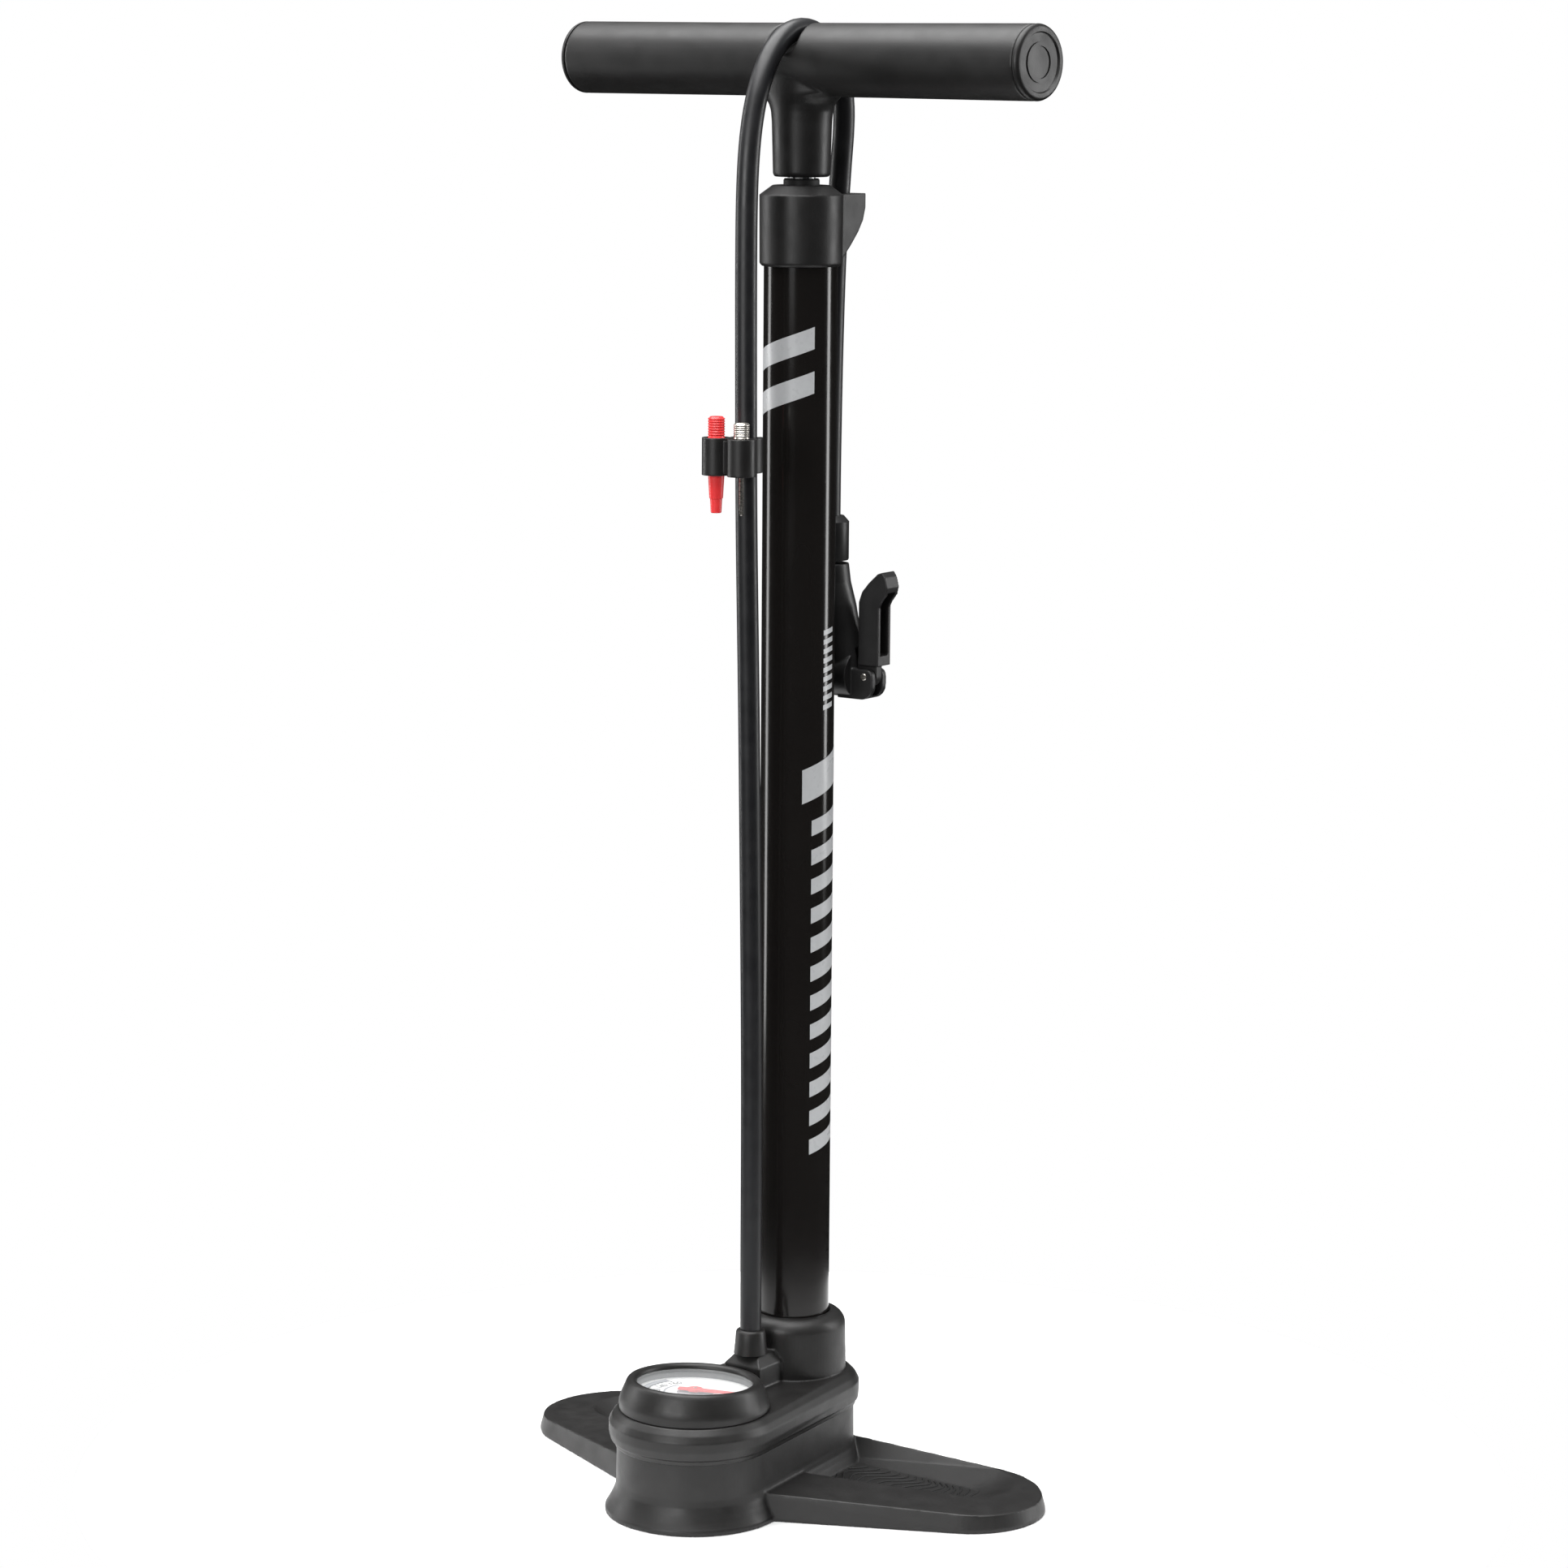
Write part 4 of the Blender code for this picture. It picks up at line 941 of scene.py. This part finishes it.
def make_head_body():
    """The head's moulding: a tapered stem, the valve's chamber across it and the lever's cheeks."""
    steps = [(357.0, 4.0, 14.4, 9.6), (366.0, 3.6, 14.0, 9.6), (376.0, 2.6, 13.0, 9.4)]
    steps += [(388.0, 1.6, 11.4, 9.2), (398.0, 0.4, 9.4, 8.8), (406.0, 0.0, 8.6, 8.5)]
    body = lofted("head_moulding", [head_section(*step) for step in steps])
    fuse(body, rod("head_chamber", CHAMBER_R, (-17, HEAD_Y, PIVOT_Z), (13, HEAD_Y, PIVOT_Z)))
    fuse(body, extruded("cheeks", cheek_outline(), HEAD_Y - 5.6, HEAD_Y + 5.6, plane="XZ"))
    low = (PIVOT_X - 8.8, HEAD_Y - 2.6, PIVOT_Z - 8.8)
    cut(body, box("cam_slot", low, (PIVOT_X + 20, HEAD_Y + 2.6, PIVOT_Z + 12)))
    cut(body, rod("gasket_seat", 7.3, (-30, HEAD_Y, PIVOT_Z), (-10.1, HEAD_Y, PIVOT_Z)))
    panel = [(1.2, 391.0), (3.0, 396.0), (7.0, 399.5), (11.5, 399.5)]
    panel += [(18.0, 366.0), (12.5, 364.5), (4.6, 364.0)]
    for low, high in ((-14.5, -8.5), (8.5, 14.5)):
        cut(body, extruded("panel", panel, HEAD_Y + low, HEAD_Y + high, plane="XZ"))
    moulded(body, 0.35, 3, HEAD_BLACK)
    return stands_for(body, "pump", "black_plastic", "head_body")


def make_head():
    """The head's fixed pieces: its ferrule, moulding, nose and lever pin."""
    profile = [(5.2, 427.0), (6.2, 427.0), (8.5, 424.4), (8.5, 408.0)]
    profile += [(8.2, 407.4), (4.8, 407.4), (4.8, 427.0)]
    collar = turned("head_collar", profile, HEAD_BLACK, (HEAD_X, HEAD_Y, 0))
    stands_for(collar, "pump", "black_plastic", "head_ferrule")
    body = make_head_body()
    profile = [(4.4, 17.3), (9.6, 17.3), (10.0, 17.9), (10.0, 24.4), (9.6, 25.4), (8.6, 26.0), (4.4, 26.0)]
    nose = turned("nose_nut", profile, HEAD_BLACK, (0, HEAD_Y, PIVOT_Z), 64, (-1, 0, 0))
    stands_for(nose, "pump", "black_plastic", "nose_cap")
    end = 2 * PIN_HALF
    profile = [(0, 0), (1.2, 0), (1.65, -0.4), (PIN_R, -0.8)]
    profile += [(PIN_R, 0.8 - end), (1.65, 0.4 - end), (1.2, -end), (0, -end)]
    pin = turned("pivot_pin", profile, NICKEL, (PIVOT_X, HEAD_Y + PIN_HALF, PIVOT_Z), 48, (0, 1, 0))
    stands_for(pin, "pump", "nickel", "lever_pin")
    return [collar, body, nose, pin]


def make_lever():
    """The thumb lever: a channel that opens outwards, a swept tip, and the cam round its pin."""
    outline = [(16.2, 362.6), (27.0, 362.6), (27.0, 388.5), (28.2, 391.0), (30.6, 394.2), (31.4, 397.6)]
    outline += [(30.2, 402.0), (28.6, 404.2), (26.2, 403.4), (21.6, 399.2), (18.0, 395.0), (16.4, 390.5)]
    lever = extruded("lever_moulding", outline, HEAD_Y - 4.7, HEAD_Y + 4.7, plane="XZ")
    channel = [(19.0, 367.0), (40.0, 367.0), (40.0, 389.0), (29.0, 396.0), (24.0, 394.5), (19.0, 388.0)]
    cut(lever, extruded("channel", channel, HEAD_Y - 3.1, HEAD_Y + 3.1, plane="XZ"))
    pivot = (PIVOT_X, PIVOT_Z)
    cam = [(14.4, PIVOT_Z + 8.0)] + arc(pivot, 5.5, math.pi, 1.5 * math.pi, 12)
    cam += arc(pivot, 4.6, 1.5 * math.pi, 2 * math.pi, 12) + [(24.5, PIVOT_Z + 8.0)]
    fuse(lever, extruded("cam", cam, HEAD_Y - 2.3, HEAD_Y + 2.3, plane="XZ"))
    cut(lever, rod("cam_hole", 1.9, (PIVOT_X, HEAD_Y - 9, PIVOT_Z), (PIVOT_X, HEAD_Y + 9, PIVOT_Z)))
    moulded(lever, 0.3, 3, HEAD_BLACK)
    return stands_for(lever, "thumb_lever", "black_plastic", "lever")


# ---------------------------------------------------------------- hidden CAD parts, stage and camera


def dress_frame():
    """Gives the CAD nodes that stay in view a finer material."""
    looks = {
        STEEL: ("rod", "piston_nut", "valve_keeper", "handle_pin"),
        GREY: ("piston", "foot_plug", "air_manifold", "valve_plunger"),
        SEAL_BLACK: ("piston_seal", "foot_seal", "valve_poppet", "head_gasket"),
        BRASS: ("gauge_movement",),
    }
    looks[STEEL] += tuple(f"cover_screw_{i}" for i in range(1, 5))
    for look, nodes in looks.items():
        for node in nodes:
            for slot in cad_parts[node].material_slots:
                slot.material = look


def area_light(name, place, size, power):
    """A soft light that faces the middle of the pump. Its place and size are in metres."""
    light = bpy.data.lights.new(name, "AREA")
    light.shape = "RECTANGLE"
    light.size, light.size_y = size
    light.energy = power
    obj = bpy.data.objects.new(name, light)
    bpy.context.scene.collection.objects.link(obj)
    obj.location = place
    middle = Vector((0, 0, 0.32))
    obj.rotation_euler = (middle - Vector(place)).to_track_quat("-Z", "Y").to_euler()
    obj.visible_camera = False


def make_stage():
    """A round pale floor, lit to white so that it runs into the room."""
    grid = bmesh.new()
    bmesh.ops.create_circle(grid, cap_ends=True, segments=64, radius=FLOOR_R * MM)
    mesh = bpy.data.meshes.new("floor")
    grid.to_mesh(mesh)
    grid.free()
    look = Nodes("floor_white")
    look.colours(look.spread(look.noise(2.0), 0.0, 1.0), (0.93, 0.93, 0.93), (0.94, 0.94, 0.94))
    look.set(Roughness=0.7)
    floor = add_object("floor", mesh, look.material)
    floor.location.z = -0.0002


def make_world():
    """A white room to the eye, which lights softly and is bright only overhead in reflections."""
    world = bpy.data.worlds.new("white_room")
    bpy.context.scene.world = world
    world.use_nodes = True
    tree = world.node_tree
    background = tree.nodes["Background"]
    background.inputs["Color"].default_value = (1, 1, 1, 1)
    direction = tree.nodes.new("ShaderNodeTexCoord")
    height = tree.nodes.new("ShaderNodeSeparateXYZ")
    tree.links.new(direction.outputs["Generated"], height.inputs["Vector"])
    overhead = tree.nodes.new("ShaderNodeMapRange")
    limits = {"From Min": 0.2, "From Max": 0.95, "To Min": 0.02, "To Max": 0.5}
    for name, value in limits.items():
        overhead.inputs[name].default_value = value
    tree.links.new(height.outputs["Z"], overhead.inputs["Value"])
    path = tree.nodes.new("ShaderNodeLightPath")
    lit = tree.nodes.new("ShaderNodeMix")
    lit.inputs["A"].default_value = 0.22
    tree.links.new(overhead.outputs["Result"], lit.inputs["B"])
    tree.links.new(path.outputs["Is Glossy Ray"], lit.inputs["Factor"])
    seen = tree.nodes.new("ShaderNodeMix")
    seen.inputs["B"].default_value = 1.0
    tree.links.new(path.outputs["Is Camera Ray"], seen.inputs["Factor"])
    tree.links.new(lit.outputs["Result"], seen.inputs["A"])
    tree.links.new(seen.outputs["Result"], background.inputs["Strength"])


def make_lights():
    """A wide light overhead, a tall one on each side, one in front, and a soft sky."""
    area_light("overhead", (-0.2, -0.2, 1.9), (2.2, 1.7), 66)
    area_light("right", (1.5, 1.5, 0.75), (0.45, 1.7), 24)
    area_light("left", (-1.6, -0.35, 0.6), (0.35, 1.6), 11)
    area_light("front", (0.1, -2.4, 0.9), (1.2, 0.8), 26)
    sky = bpy.data.objects.new("sky", bpy.data.lights.new("sky", "SUN"))
    sky.data.energy = 0.35
    sky.data.angle = math.radians(60)
    bpy.context.scene.collection.objects.link(sky)


def make_camera():
    """A long lens from the right of the front, a little above the pump."""
    level = Vector((-math.sin(CAMERA_TURN), math.cos(CAMERA_TURN), 0))
    ahead = level * math.cos(CAMERA_PITCH) - Vector((0, 0, math.sin(CAMERA_PITCH)))
    right = Vector((math.cos(CAMERA_TURN), math.sin(CAMERA_TURN), 0))
    up = right.cross(ahead)
    side = right * math.cos(CAMERA_ROLL) + up * math.sin(CAMERA_ROLL)
    top = up * math.cos(CAMERA_ROLL) - right * math.sin(CAMERA_ROLL)
    camera = bpy.data.cameras.new("camera")
    camera.sensor_width = SENSOR_MM
    camera.lens = LENS_MM
    camera.clip_start, camera.clip_end = 0.05, 60
    obj = bpy.data.objects.new("camera", camera)
    bpy.context.scene.collection.objects.link(obj)
    place = Matrix((side, top, -ahead)).transposed().to_4x4()
    place.translation = Vector((0, 0, CAMERA_AIM_Z)) - ahead * CAMERA_DISTANCE + right * CAMERA_SIDE
    obj.matrix_world = place
    bpy.context.scene.camera = obj


def make_scene():
    """The camera and the hose first, then the stage and every other piece."""
    make_camera()
    make_world()
    make_lights()
    make_stage()
    dress_frame()
    bpy.context.scene.view_settings.view_transform = "Standard"

    points = smooth_route(HOSE_ROUTE, 4.0)
    hose, ferrule = make_hose(points)
    on_hose = [ferrule, make_clip(), *make_adaptors(), *make_head(), make_lever()]

    make_base_body()
    peg_grooves()
    make_base_cover()
    make_barrel()
    make_valve_spring()
    make_decals()
    make_barrel_cap()
    make_handle()
    make_gauge()


make_scene()
